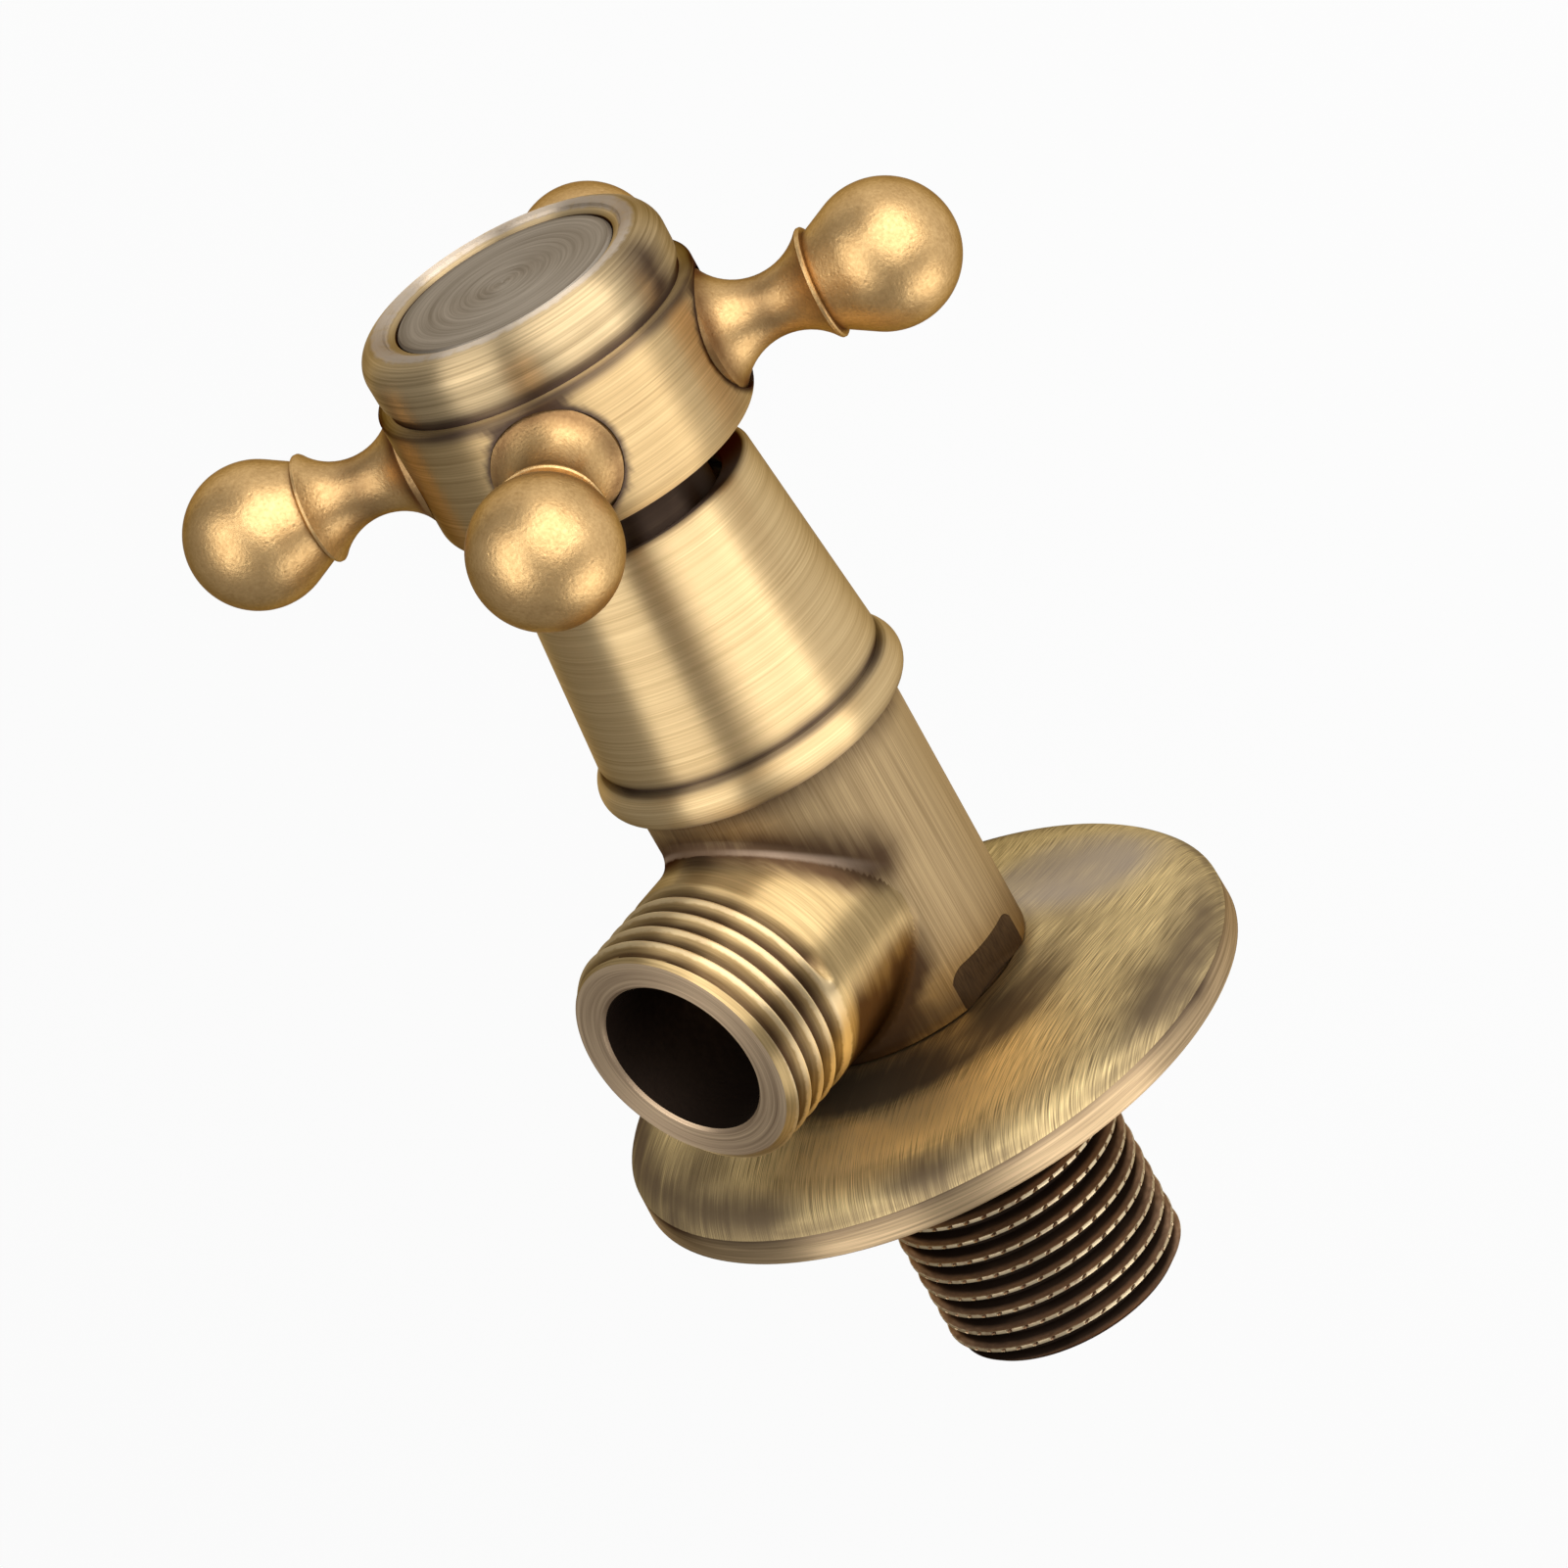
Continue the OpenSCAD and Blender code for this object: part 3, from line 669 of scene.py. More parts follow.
def fill_valley_highlight(tree):
    given = add_node(tree, "NodeGroupInput").outputs
    radii = []
    for centre, keep in (((0, 0, 0), (1, 0, 1)), ((0, outlet_at * MM, 0), (1, 1, 0))):
        moved = vector_of(tree, "ADD", given["Vector"], centre)
        radii.append(vector_of(tree, "LENGTH", vector_of(tree, "MULTIPLY", moved, keep)))
    lean = math_of(tree, "SUBTRACT", *radii)
    lean = math_of(tree, "SUBTRACT", lean, (barrel_r - boss_r - valley_highlight_shift) * MM)
    wander = add_node(
        tree, "ShaderNodeTexNoise", {"Vector": given["Vector"], "Scale": 300.0, "Detail": 3.0}
    ).outputs[0]
    off = math_of(tree, "DIVIDE", math_of(tree, "ABSOLUTE", lean), valley_highlight_half * MM)
    line = ramp(tree, off, 1.0, 0.15)
    x, y, z = add_node(tree, "ShaderNodeSeparateXYZ", {0: given["Vector"]}).outputs
    handle_side = ramp(tree, y, -21.5 * MM, -24.5 * MM, shape="LINEAR")
    aside = math_of(tree, "ABSOLUTE", x)
    beside = ramp(tree, aside, 1.5 * MM, 6.0 * MM, 0.1, 0.65, shape="LINEAR")
    above = math_of(tree, "GREATER_THAN", z, 3 * MM)
    for part in (handle_side, beside, above, math_of(tree, "ADD", wander, 0.4, clamp=True)):
        line = math_of(tree, "MULTIPLY", line, part)
    add_node(tree, "NodeGroupOutput", {"Line": line})


fill_valley_highlight(valley_highlight)
# The colour of the painted highlight line.
valley_highlight_colour = (0.42, 0.31, 0.225, 1)

# Old brass: from brush marks, patina and painted light to a colour, a roughness and a height
# How far a value below 0 lightens the colour: a painted highlight.
painted_highlight_lift = 0.5
patina_shows = 0.08
patina_covers = 0.95
old_brass = new_group(
    "old_brass",
    {
        "NodeSocketColor": ["Bright", "Deep", "Patina and shade colour"],
        "NodeSocketFloat": ["Fine", "Broad", "Share", "Patina and painted light", "Roughness", "Contrast"],
        "NodeSocketVector": ["Vector"],
    },
    {"NodeSocketColor": ["Colour"], "NodeSocketFloat": ["Roughness", "Height"]},
)


def fill_old_brass(tree):
    given = add_node(tree, "NodeGroupInput").outputs
    marks = add_node(
        tree, "ShaderNodeMix", {"Factor": given["Share"], 2: given["Fine"], 3: given["Broad"]}
    ).outputs[0]

    def swing(value, amount):
        """How far a noise lies above or below its middle, times an amount."""
        return math_of(tree, "MULTIPLY", math_of(tree, "SUBTRACT", value, 0.5), amount)

    # Values below 0 lighten the colour as a painted highlight.
    painted_highlight = math_of(tree, "MINIMUM", given["Patina and painted light"], 0)
    painted_highlight = math_of(tree, "MULTIPLY", painted_highlight, -painted_highlight_lift)
    level = math_of(tree, "ADD", painted_highlight, 0.5)
    level = math_of(tree, "ADD", swing(marks, given["Contrast"]), level, clamp=True)
    brassy = blend(tree, level, given["Deep"], given["Bright"])
    cloud = add_node(
        tree, "ShaderNodeTexNoise",
        {"Vector": given["Vector"], "Scale": 160.0, "Detail": 2.0, "Roughness": 0.5},
    ).outputs[0]
    drift = math_of(tree, "ADD", swing(given["Broad"], 0.9), swing(cloud, 0.8))
    drift = math_of(tree, "MULTIPLY", drift, given["Patina and painted light"])
    # Values above 0 lay on the dark colour: patina, and painted shade where a piece asks for it.
    held = math_of(tree, "ADD", given["Patina and painted light"], drift)
    darkened = ramp(tree, held, patina_shows, patina_covers)
    colour = blend(tree, darkened, brassy, given["Patina and shade colour"])
    rough = math_of(tree, "ADD", given["Roughness"], swing(given["Fine"], -0.16))
    rough = math_of(tree, "ADD", rough, math_of(tree, "MULTIPLY", darkened, 0.08))
    add_node(
        tree, "NodeGroupOutput", {"Colour": colour, "Roughness": rough, "Height": marks}
    )


fill_old_brass(old_brass)

bright_brass = (0.87, 0.63, 0.33, 1)
deep_brass = (0.50, 0.335, 0.145, 1)
# The dark colour of patina, also laid on as painted shade.
dark_patina = (0.125, 0.082, 0.058, 1)
worn_brass = (0.90, 0.69, 0.39, 1)
edge_tint = (0.25, 0.19, 0.14, 1)
brush_depth = 0.006 * MM


def brushed(name, streaks, centre=(0, 0, 0), turn=(0, 0, 0), straight=(0, 0, 0),
            anisotropy=0.97, across=0.25, bright=bright_brass, deep=deep_brass,
            patina=dark_patina, wear_and_sheen=None, worn_from=0.35, worn_grain=1400.0, share=0.3,
            roughness=0.46, contrast=2.2, depth=brush_depth, highlight_colour=None):
    """Brushed antique brass. Streaks are (round, along, out, twist) of the marks.

    Centre and turn bring the turning axis of the piece onto the Y axis.
    """
    made, tree, shader = new_material(name)
    here = add_node(tree, "ShaderNodeTexCoord").outputs["Object"]
    if any(centre) or any(turn):
        here = add_node(
            tree, "ShaderNodeMapping",
            {"Vector": here, "Location": centre, "Rotation": turn}, vector_type="TEXTURE",
        ).outputs[0]
    marks = add_node(tree, "ShaderNodeGroup", node_tree=brush)
    tree.links.new(here, marks.inputs["Vector"])
    for label, value in zip(("Round", "Along", "Out", "Twist"), streaks):
        marks.inputs[label].default_value = value
    marks.inputs["Straight"].default_value = straight
    patina_here = add_node(tree, "ShaderNodeAttribute", attribute_name="patina")
    surface = add_node(tree, "ShaderNodeGroup", node_tree=old_brass)
    for label, value in (
        ("Bright", bright), ("Deep", deep), ("Patina and shade colour", patina),
        ("Roughness", roughness), ("Contrast", contrast), ("Share", share),
    ):
        surface.inputs[label].default_value = value
    tree.links.new(marks.outputs["Fine"], surface.inputs["Fine"])
    tree.links.new(marks.outputs["Broad"], surface.inputs["Broad"])
    tree.links.new(patina_here.outputs["Fac"], surface.inputs["Patina and painted light"])
    tree.links.new(here, surface.inputs["Vector"])
    colour = surface.outputs["Colour"]
    # Wear on crests and edges, and on the flange and cap a painted sheen, in a colour of its own.
    if wear_and_sheen:
        wear_and_sheen_here = add_node(tree, "ShaderNodeAttribute", attribute_name="wear_and_sheen").outputs["Fac"]
        chips = add_node(
            tree, "ShaderNodeTexNoise", {"Vector": here, "Scale": worn_grain, "Detail": 3.0}
        ).outputs[0]
        wear_and_sheen_share = math_of(tree, "MULTIPLY", wear_and_sheen_here, math_of(tree, "ADD", chips, 0.5))
        wear_and_sheen_share = ramp(tree, wear_and_sheen_share, worn_from, worn_from + 0.35)
        colour = blend(tree, wear_and_sheen_share, colour, wear_and_sheen)
    # A painted highlight line in the valley by the boss.
    if highlight_colour:
        line = add_node(tree, "ShaderNodeGroup", node_tree=valley_highlight)
        whole = add_node(tree, "ShaderNodeTexCoord").outputs["Object"]
        tree.links.new(whole, line.inputs["Vector"])
        colour = blend(tree, line.outputs[0], colour, highlight_colour)
    tree.links.new(colour, shader.inputs["Base Color"])
    tree.links.new(surface.outputs["Roughness"], shader.inputs["Roughness"])
    bump = add_node(
        tree, "ShaderNodeBump", {"Height": surface.outputs["Height"], "Distance": depth}
    )
    tree.links.new(bump.outputs[0], shader.inputs["Normal"])
    shader.inputs["Metallic"].default_value = 1
    shader.inputs["Specular Tint"].default_value = edge_tint
    shader.inputs["Anisotropic"].default_value = anisotropy
    shader.inputs["Anisotropic Rotation"].default_value = across
    sides = add_node(tree, "ShaderNodeSeparateXYZ", {0: here}).outputs
    back = math_of(tree, "MULTIPLY", sides["X"], -1)
    tangent = add_node(tree, "ShaderNodeCombineXYZ", {0: sides["Z"], 2: back}).outputs[0]
    if any(turn):
        tangent = add_node(
            tree, "ShaderNodeVectorRotate", {"Vector": tangent, "Rotation": turn},
            rotation_type="EULER_XYZ",
        ).outputs[0]
    tangent = add_node(
        tree, "ShaderNodeVectorTransform", {0: tangent},
        vector_type="VECTOR", convert_from="OBJECT", convert_to="WORLD",
    ).outputs[0]
    tree.links.new(tangent, shader.inputs["Tangent"])
    return made


outlet_turn = (math.radians(90), 0, 0)
outlet_centre = (0, -outlet_at * MM, 0)
barrel_brass = brushed(
    "barrel_brass", (90, 60, 0, 0), across=0, anisotropy=0.75, contrast=2.4,
    bright=(0.68, 0.495, 0.265, 1), deep=(0.33, 0.222, 0.11, 1), patina=(0.115, 0.068, 0.038, 1),
    highlight_colour=valley_highlight_colour,
)
boss_brass = brushed(
    "boss_brass", (1.8, 6000, 6000, 0), outlet_centre, outlet_turn, wear_and_sheen=worn_brass,
    bright=(0.86, 0.63, 0.31, 1), deep=(0.46, 0.31, 0.135, 1), patina=(0.14, 0.078, 0.04, 1),
    highlight_colour=valley_highlight_colour,
)
face_brass = brushed(
    "face_brass", (0.7, 0, 5200, 0), outlet_centre, outlet_turn, contrast=2.6,
    bright=(0.84, 0.64, 0.42, 1), deep=(0.36, 0.25, 0.165, 1), anisotropy=0.6,
)
shank_brass = brushed(
    "shank_brass", (9, 3000, 3000, 0), bright=(0.42, 0.26, 0.16, 1),
    deep=(0.15, 0.09, 0.055, 1), patina=(0.032, 0.02, 0.014, 1), wear_and_sheen=(0.66, 0.53, 0.34, 1),
    worn_from=0.62, roughness=0.42, anisotropy=0.3,
)
bore_brass = brushed(
    "bore_brass", (3, 1500, 1500, 0), bright=(0.10, 0.066, 0.048, 1),
    deep=(0.045, 0.03, 0.022, 1), roughness=0.5, anisotropy=0,
)
flat_brass = brushed(
    "flat_brass", (60, 900, 0, 0), bright=(0.17, 0.11, 0.06, 1), deep=(0.055, 0.035, 0.022, 1),
    patina=(0.05, 0.032, 0.02, 1), roughness=0.5, anisotropy=0.3, across=0,
)
body.data.materials.clear()
body_finishes = (barrel_brass, boss_brass, face_brass, shank_brass, bore_brass, flat_brass)
for finish_material in body_finishes:
    body.data.materials.append(finish_material)
BARREL, BOSS, FACE, SHANK, BORE, FLAT = range(6)
bores_r = 9.2
for face in body.data.polygons:
    middle = face.center
    from_axis = math.hypot(middle.x, middle.z)
    from_outlet = math.hypot(middle.x, middle.y + outlet_at)
    in_outlet = from_outlet < outlet_bore_r + 0.05 and middle.z > 0
    if in_outlet or from_axis < bores_r and middle.z < bores_r:
        face.material_index = BORE
    elif -middle.y < shank_end:
        face.material_index = SHANK
    elif abs(abs(middle.x) - flat_at) < 0.02 and barrel_foot < -middle.y < flat_top:
        face.material_index = FLAT
    elif middle.z > outlet_end - edge_break - 0.05 and from_outlet < hose_end_r + 0.1:
        face.material_index = FACE
    elif middle.z > 0 and from_axis - barrel_r > abs(from_outlet - boss_r):
        face.material_index = BOSS
    else:
        face.material_index = BARREL
finish(body, "valve", ["valve_body"])


# Wall flange
# A dish pressed from sheet brass, with a straight rim. It is loose on the shank
# and slides to the tiles. Its face is brushed in curved strokes from the hole
# outwards, and its rim along the edge.
flange_low, flange_high = frame_box("wall_flange")
flange_r = flange_high[0]
rim_top_r = 26.5
rim_band = 2.4
flange_wall = 1.3
flange_hole_r = 10.78
flange_lip_r = 11.7
flange_top = -flange_low[1]
dome_w = 5
dome_h = 2.7
slope_w = 3.4
slope_h = 0.75


def flange_face(outer_r, foot, top):
    """The curved face of the dish, from its rim to the lip round the hole."""
    inner_r = outer_r - dome_w
    dome = curve(
        (outer_r, foot), (outer_r - 0.18 * dome_w, foot + 0.48 * dome_h),
        (outer_r - 0.48 * dome_w, foot + 0.78 * dome_h), (inner_r, foot + dome_h),
    )
    slope = curve(
        (inner_r, foot + dome_h), (inner_r - slope_w, foot + dome_h + slope_h),
        (flange_lip_r + slope_w, top - slope_h), (flange_lip_r, top),
    )
    return dome + slope[1:]


back_round = 0.18
flange = as_object(turned(
    [(flange_r - back_round, 0), (flange_r, back_round)]
    + flange_face(rim_top_r, rim_band, flange_top)
    + [(flange_hole_r, flange_top), (flange_hole_r, flange_top - flange_wall)]
    + flange_face(rim_top_r - flange_wall, rim_band - flange_wall, flange_top - flange_wall)[::-1]
    + [(flange_r - flange_wall, 0)],
), "flange")


# Patina darkens the rim and a few spots, each with its strength, place and reach,
# and a painted shadow lies in a ring round the body's foot. The ring between gets a painted highlight.
foot_shadow_r = 17.6
highlight_ring_r = (16.8, 23.4)
flange_spots = (
    (0.6, (-5.4, -16), 9.5), (0.6, (-12, -9), 8), (0.95, (-25, -3), 7), (0.9, (10, 24), 12),
)


def flange_patina_and_painted_light(point):
    ring = (math.hypot(point.x, point.z), -point.y)
    place = (point.x, point.z)
    rim = near(ring, (rim_top_r - 1.2, rim_band + 1.6), 5.2)
    clean = near(place, (-22.5, 12), 11) + 0.85 * near(place, (-10, -24), 20)
    clean = max(clean, 0.9 * near(place, (-8, 24), 7))
    # Painted shadow of the body on the dish, round its foot.
    foot = min(1, (foot_shadow_r - ring[0]) / 1.8, 0.6 + max(0, ring[0] - 12.2) / 2)
    foot *= min(1, 1.5 * near(place, (-8, 9), 22)) * (1 - 0.35 * near(place, (-11.5, 8), 5))
    ridge = min(1, (ring[0] - highlight_ring_r[0]) / 1.4, (highlight_ring_r[1] - ring[0]) / 1.6)
    # A painted highlight: a golden band of reflection across the dish.
    painted_highlight = 1.4 * near(place, (-10, 16), 16) * max(ridge, 0)
    dark = max(
        foot, (0.95 - clean) * rim,
        0.75 * near(ring, (rim_top_r, rim_band + 0.6), 1.8),
        0.5 * near(ring, (flange_lip_r, flange_top), 1.2),
    )
    for strength, spot, reach in flange_spots:
        dark = max(dark, strength * near(place, spot, reach))
    on_face = 1 if ring[1] > rim_band - 0.1 else 0.3
    return dark * on_face - painted_highlight


def flange_haze_and_sheen(point):
    """A grey haze on one side, partly patina and partly painted sheen, laid on as a wear of its own colour."""
    return 0.56 * min(1, 1.5 * near((point.x, point.z), (-7, -16), 16))


store_marks(flange, flange_patina_and_painted_light)
store_marks(flange, flange_haze_and_sheen, "wear_and_sheen")
# Its wear colour is the grey of the haze, partly painted sheen.
flange_brass = brushed(
    "flange_brass", (0, 0, 0, 14), turn=(0, math.radians(13), 0),
    straight=(11000, 0, 230), across=0, anisotropy=0.6, contrast=3.2, share=0.12,
    bright=(0.98, 0.75, 0.37, 1), deep=(0.215, 0.155, 0.078, 1), patina=(0.158, 0.113, 0.066, 1),
    wear_and_sheen=(0.36, 0.295, 0.235, 1), worn_grain=40.0, roughness=0.5,
)
rim_brass = brushed(
    "rim_brass", (2, 5000, 0, 0), contrast=2.8,
    bright=(0.80, 0.585, 0.345, 1), deep=(0.33, 0.23, 0.13, 1),
)
flange.data.materials.append(flange_brass)
flange.data.materials.append(rim_brass)
for face in flange.data.polygons:
    radius = math.hypot(face.center.x, face.center.z)
    face.material_index = int(radius > rim_top_r - 0.05)
finish(flange, "flange", ["wall_flange"])


# Cover sleeve
# A tapered shroud turned from brass tube, with a bead at its foot. It is screwed
# on the body by hand and brushed round, and the mouth has painted shade inside.
sleeve_top = -frame_box("cover_sleeve")[0][1]
sleeve_foot = barrel_top + 0.02
foot_face_r = 11.6
foot_bore_r = 10.65
foot_bore_top = 33.8
sleeve_bore_r = 10.85
sleeve_bore_foot = 34.1
sleeve_bore_top = 42.6
bead_centre_r = 11.5
bead_round = 1.75
bead_at = 33.6
groove_r = 12.0
groove_at_bead = 35.55
taper_foot_r = 12.25
mouth_r = 10.6
mouth_round = 0.45
mouth_face_r = 9.85
mouth_hole_r = 7.9
mouth_edge = 53.9
mouth_land = 53
throat_r = 9.25
throat_at = 51.6
sleeve = as_object(turned(
    [(foot_bore_r, sleeve_foot), (foot_face_r, sleeve_foot)]
    + arc(bead_centre_r, bead_at, bead_round, -80, 78, 20)
    + [
        (groove_r, groove_at_bead), (groove_r + 0.03, groove_at_bead + 0.07),
        (taper_foot_r - 0.04, groove_at_bead + 0.4), (taper_foot_r, groove_at_bead + 0.7),
    ]
    + arc(mouth_r - mouth_round, sleeve_top - mouth_round, mouth_round, 0, 90, 6)
    + [
        (mouth_face_r, sleeve_top), (mouth_hole_r + 0.1, mouth_edge + 0.16),
        (mouth_hole_r, mouth_edge), (mouth_hole_r, mouth_land), (throat_r, throat_at),
        (sleeve_bore_r, sleeve_bore_top), (sleeve_bore_r, sleeve_bore_foot),
        (foot_bore_r, foot_bore_top),
    ],
), "sleeve")


def sleeve_patina_and_shade(point):
    ring = (math.hypot(point.x, point.z), -point.y)
    # Inside the mouth: painted shade.
    if ring[0] < 10 and ring[1] > 51:
        return 0.9
    return max(
        0.9 * near(ring, (groove_r + 0.05, groove_at_bead), 1.3),
        0.75 * near(ring, (12.1, sleeve_foot), 2.7),
        0.6 * near(ring, (9.9, sleeve_top), 1.2),
    )


store_marks(sleeve, sleeve_patina_and_shade)
sleeve.data.materials.append(brushed(
    "sleeve_brass", (0.6, 7500, 7500, 0), bright=(0.93, 0.70, 0.38, 1), deep=(0.60, 0.415, 0.20, 1),
    share=0.15, contrast=1.7,
))
finish(sleeve, "valve", ["cover_sleeve"])


# Handle hub
# Turned from bar, with a skirt that dips in the sleeve, a broached hole for the
# splined spindle, a well for the screw, and four sockets that hold the arms.
hub_low, hub_high = frame_box("handle_hub")
hub_r = hub_high[0]
hub_foot = 58
hub_top = -hub_low[1]
hub_round = 2
hub_edge = 0.25
skirt_r = 6.9
skirt_foot = -hub_high[1]
skirt_edge = 0.2
skirt_bore_r = 5.5
skirt_bore_top = 53.2
spline_hole_r = 3.95
spline_top = 61.4
screw_hole_r = 2.25
screw_seat = 62.8
well_r = 5.9
cap_seat = 67.6
cap_seat_r = 10.55
turning = next(joint for joint in frame["joints"] if joint["name"] == "handle_turn")
arm_axis = round(-turning["pos_m"][1] / MM, 3)
arm_angle = 33.7
arm_count = 4
hub = as_object(turned(
    [(skirt_bore_r, skirt_foot), (skirt_r - skirt_edge, skirt_foot)]
    + [(skirt_r, skirt_foot + skirt_edge), (skirt_r, hub_foot)]
    + arc(hub_r - hub_round, hub_foot + hub_round, hub_round, -90, 0, 12)
    + arc(hub_r - hub_edge, hub_top - hub_edge, hub_edge, 0, 90, 4)
    + [
        (cap_seat_r, hub_top), (cap_seat_r, cap_seat), (well_r, cap_seat), (well_r, screw_seat),
        (screw_hole_r, screw_seat), (screw_hole_r, spline_top), (spline_hole_r, spline_top),
        (spline_hole_r, skirt_bore_top), (skirt_bore_r, skirt_bore_top),
    ],
), "hub")


def along_arm(number):
    """Turns the -Y axis onto an arm, with zero distance on the main axis."""
    heading = math.radians(arm_angle + 360 / arm_count * number)
    return (
        Matrix.Translation((0, -arm_axis, 0))
        @ Matrix.Rotation(-heading, 4, "Y")
        @ Matrix.Rotation(math.radians(90), 4, "Z")
    )


socket_r = 5.05
socket_foot = 11.45
stud_hole_r = 3.05
stud_hole_foot = 7.2
past_hub = 15
for number in range(arm_count):
    socket_form = turned([
        (0, stud_hole_foot), (stud_hole_r, stud_hole_foot), (stud_hole_r, socket_foot),
        (socket_r, socket_foot), (socket_r, past_hub), (0, past_hub),
    ], steps=96)
    bmesh.ops.transform(socket_form, matrix=along_arm(number), verts=socket_form.verts)
    worked(hub, as_object(socket_form, "socket"), "DIFFERENCE")


def hub_patina_and_shade(point):
    radius = math.hypot(point.x, point.z)
    inside = radius < 10
    underneath = radius < hub_r - 0.3 and -point.y < hub_foot + 0.2
    dark = 0.85 * near((radius, -point.y), (hub_r, hub_top), 1.2)
    # Inside the hub and under it, round the skirt in the sleeve's mouth: painted shade.
    if inside or underneath:
        dark = 0.9
    for number in range(arm_count):
        local = along_arm(number).inverted() @ point
        root = math.hypot(local.x, local.z)
        if local.y < 0 and root < 6.4:
            dark = max(dark, 1 - (root - socket_r) / 0.7)
    return dark


store_marks(hub, hub_patina_and_shade)
hub.data.materials.clear()
hub.data.materials.append(brushed(
    "hub_brass", (0.7, 7000, 7000, 0), bright=(0.80, 0.58, 0.30, 1), deep=(0.44, 0.29, 0.13, 1),
    contrast=1.8, share=0.2,
))
finish(hub, "handle", ["handle_hub"])


# Handle arms
# Each is cast and turned in one: a stud and a plug that are pressed in the hub,
# a waisted neck, a collar and a ball. Their finish is satin, with fine pits.
ball_reach = 27.05
ball_r = 5.89
stud_foot = 7.5
stud_r = 3
plug_foot = 11.5
arm_foot_r = 5
neck_round = 5.25
neck_centre_r = 7.79
neck_at = 17.475
collar_at = 21.5
collar_r = 4.5
collar_h = 0.5
shoulder_r = 4
shoulder_at = collar_at + collar_h - ball_reach
foot_angle = math.degrees(math.acos((neck_centre_r - arm_foot_r) / neck_round))
collar_angle = math.degrees(math.asin((collar_at - neck_at) / neck_round))
cone_angle = math.degrees(
    math.atan2(shoulder_at, shoulder_r)
    + math.acos(ball_r / math.hypot(shoulder_r, shoulder_at))
)

cast = new_group(
    "cast_grain", {"NodeSocketVector": ["Vector"]},
    {"NodeSocketFloat": ["Grain", "Cloud", "Height"]},
)


def fill_cast(tree):
    given = add_node(tree, "NodeGroupInput").outputs
    grain = add_node(
        tree, "ShaderNodeTexNoise",
        {"Vector": given["Vector"], "Scale": 3200.0, "Detail": 3.0, "Roughness": 0.6},
    ).outputs[0]
    cloud = add_node(
        tree, "ShaderNodeTexNoise",
        {"Vector": given["Vector"], "Scale": 420.0, "Detail": 3.0, "Roughness": 0.6},
    ).outputs[0]
    cells = add_node(
        tree, "ShaderNodeTexVoronoi", {"Vector": given["Vector"], "Scale": 1500.0},
    ).outputs["Distance"]
    pits = ramp(tree, cells, 0.05, 0.3)
    height = math_of(tree, "ADD", grain, math_of(tree, "MULTIPLY", pits, 0.35))
    add_node(tree, "NodeGroupOutput", {"Grain": grain, "Cloud": cloud, "Height": height})


fill_cast(cast)

cast_bright = (0.80, 0.53, 0.24, 1)
cast_deep = (0.42, 0.25, 0.10, 1)
cast_patina = (0.22, 0.12, 0.05, 1)
arm_brass, arm_tree, arm_shader = new_material("arm_brass")
arm_place = add_node(arm_tree, "ShaderNodeTexCoord").outputs["Object"]
arm_grain = add_node(arm_tree, "ShaderNodeGroup", node_tree=cast)
arm_tree.links.new(arm_place, arm_grain.inputs["Vector"])
arm_stain = add_node(arm_tree, "ShaderNodeAttribute", attribute_name="patina")
arm_surface = add_node(arm_tree, "ShaderNodeGroup", node_tree=old_brass)
for label, value in (
    ("Bright", cast_bright), ("Deep", cast_deep), ("Patina and shade colour", cast_patina),
    ("Roughness", 0.4), ("Contrast", 1.8), ("Share", 0.45),
):
    arm_surface.inputs[label].default_value = value
arm_tree.links.new(arm_grain.outputs["Grain"], arm_surface.inputs["Fine"])
arm_tree.links.new(arm_grain.outputs["Cloud"], arm_surface.inputs["Broad"])
arm_tree.links.new(arm_stain.outputs["Fac"], arm_surface.inputs["Patina and painted light"])
arm_tree.links.new(arm_place, arm_surface.inputs["Vector"])
arm_tree.links.new(arm_surface.outputs["Colour"], arm_shader.inputs["Base Color"])
arm_tree.links.new(arm_surface.outputs["Roughness"], arm_shader.inputs["Roughness"])
arm_bump = add_node(
    arm_tree, "ShaderNodeBump",
    {"Height": arm_grain.outputs["Height"], "Distance": 0.03 * MM},
)
arm_tree.links.new(arm_bump.outputs[0], arm_shader.inputs["Normal"])
arm_shader.inputs["Metallic"].default_value = 1
arm_shader.inputs["Specular Tint"].default_value = edge_tint


def arm_stains(point):
    ring = (math.hypot(point.x, point.z), -point.y)
    return max(
        0.6 * near(ring, (shoulder_r, collar_at + 0.6), 0.8),
        0.55 * near(ring, (neck_centre_r - neck_round, neck_at), 5),
        0.85 * near(ring, (4.6, 13.2), 2.2),
    )


for number in range(arm_count):
    arm_form = turned(
        [(0, stud_foot), (stud_r, stud_foot), (stud_r, plug_foot), (arm_foot_r, plug_foot)]
        + arc(neck_centre_r, neck_at, neck_round, 180 + foot_angle, 180 - collar_angle, 20)
        + [
            (collar_r - 0.1, collar_at), (collar_r, collar_at + 0.1),
            (collar_r, collar_at + 0.3), (collar_r - 0.12, collar_at + 0.42),
            (shoulder_r, collar_at + collar_h),
        ]
        + arc(0, ball_reach, ball_r, cone_angle, 90, 36),
        steps=96, longest=0.8,
    )
    arm = as_object(arm_form, f"arm_{number + 1}")
    store_marks(arm, arm_stains)
    arm.data.transform(along_arm(number))
    arm.data.materials.append(arm_brass)
    finish(arm, "handle", [f"handle_arm_{number + 1}"])


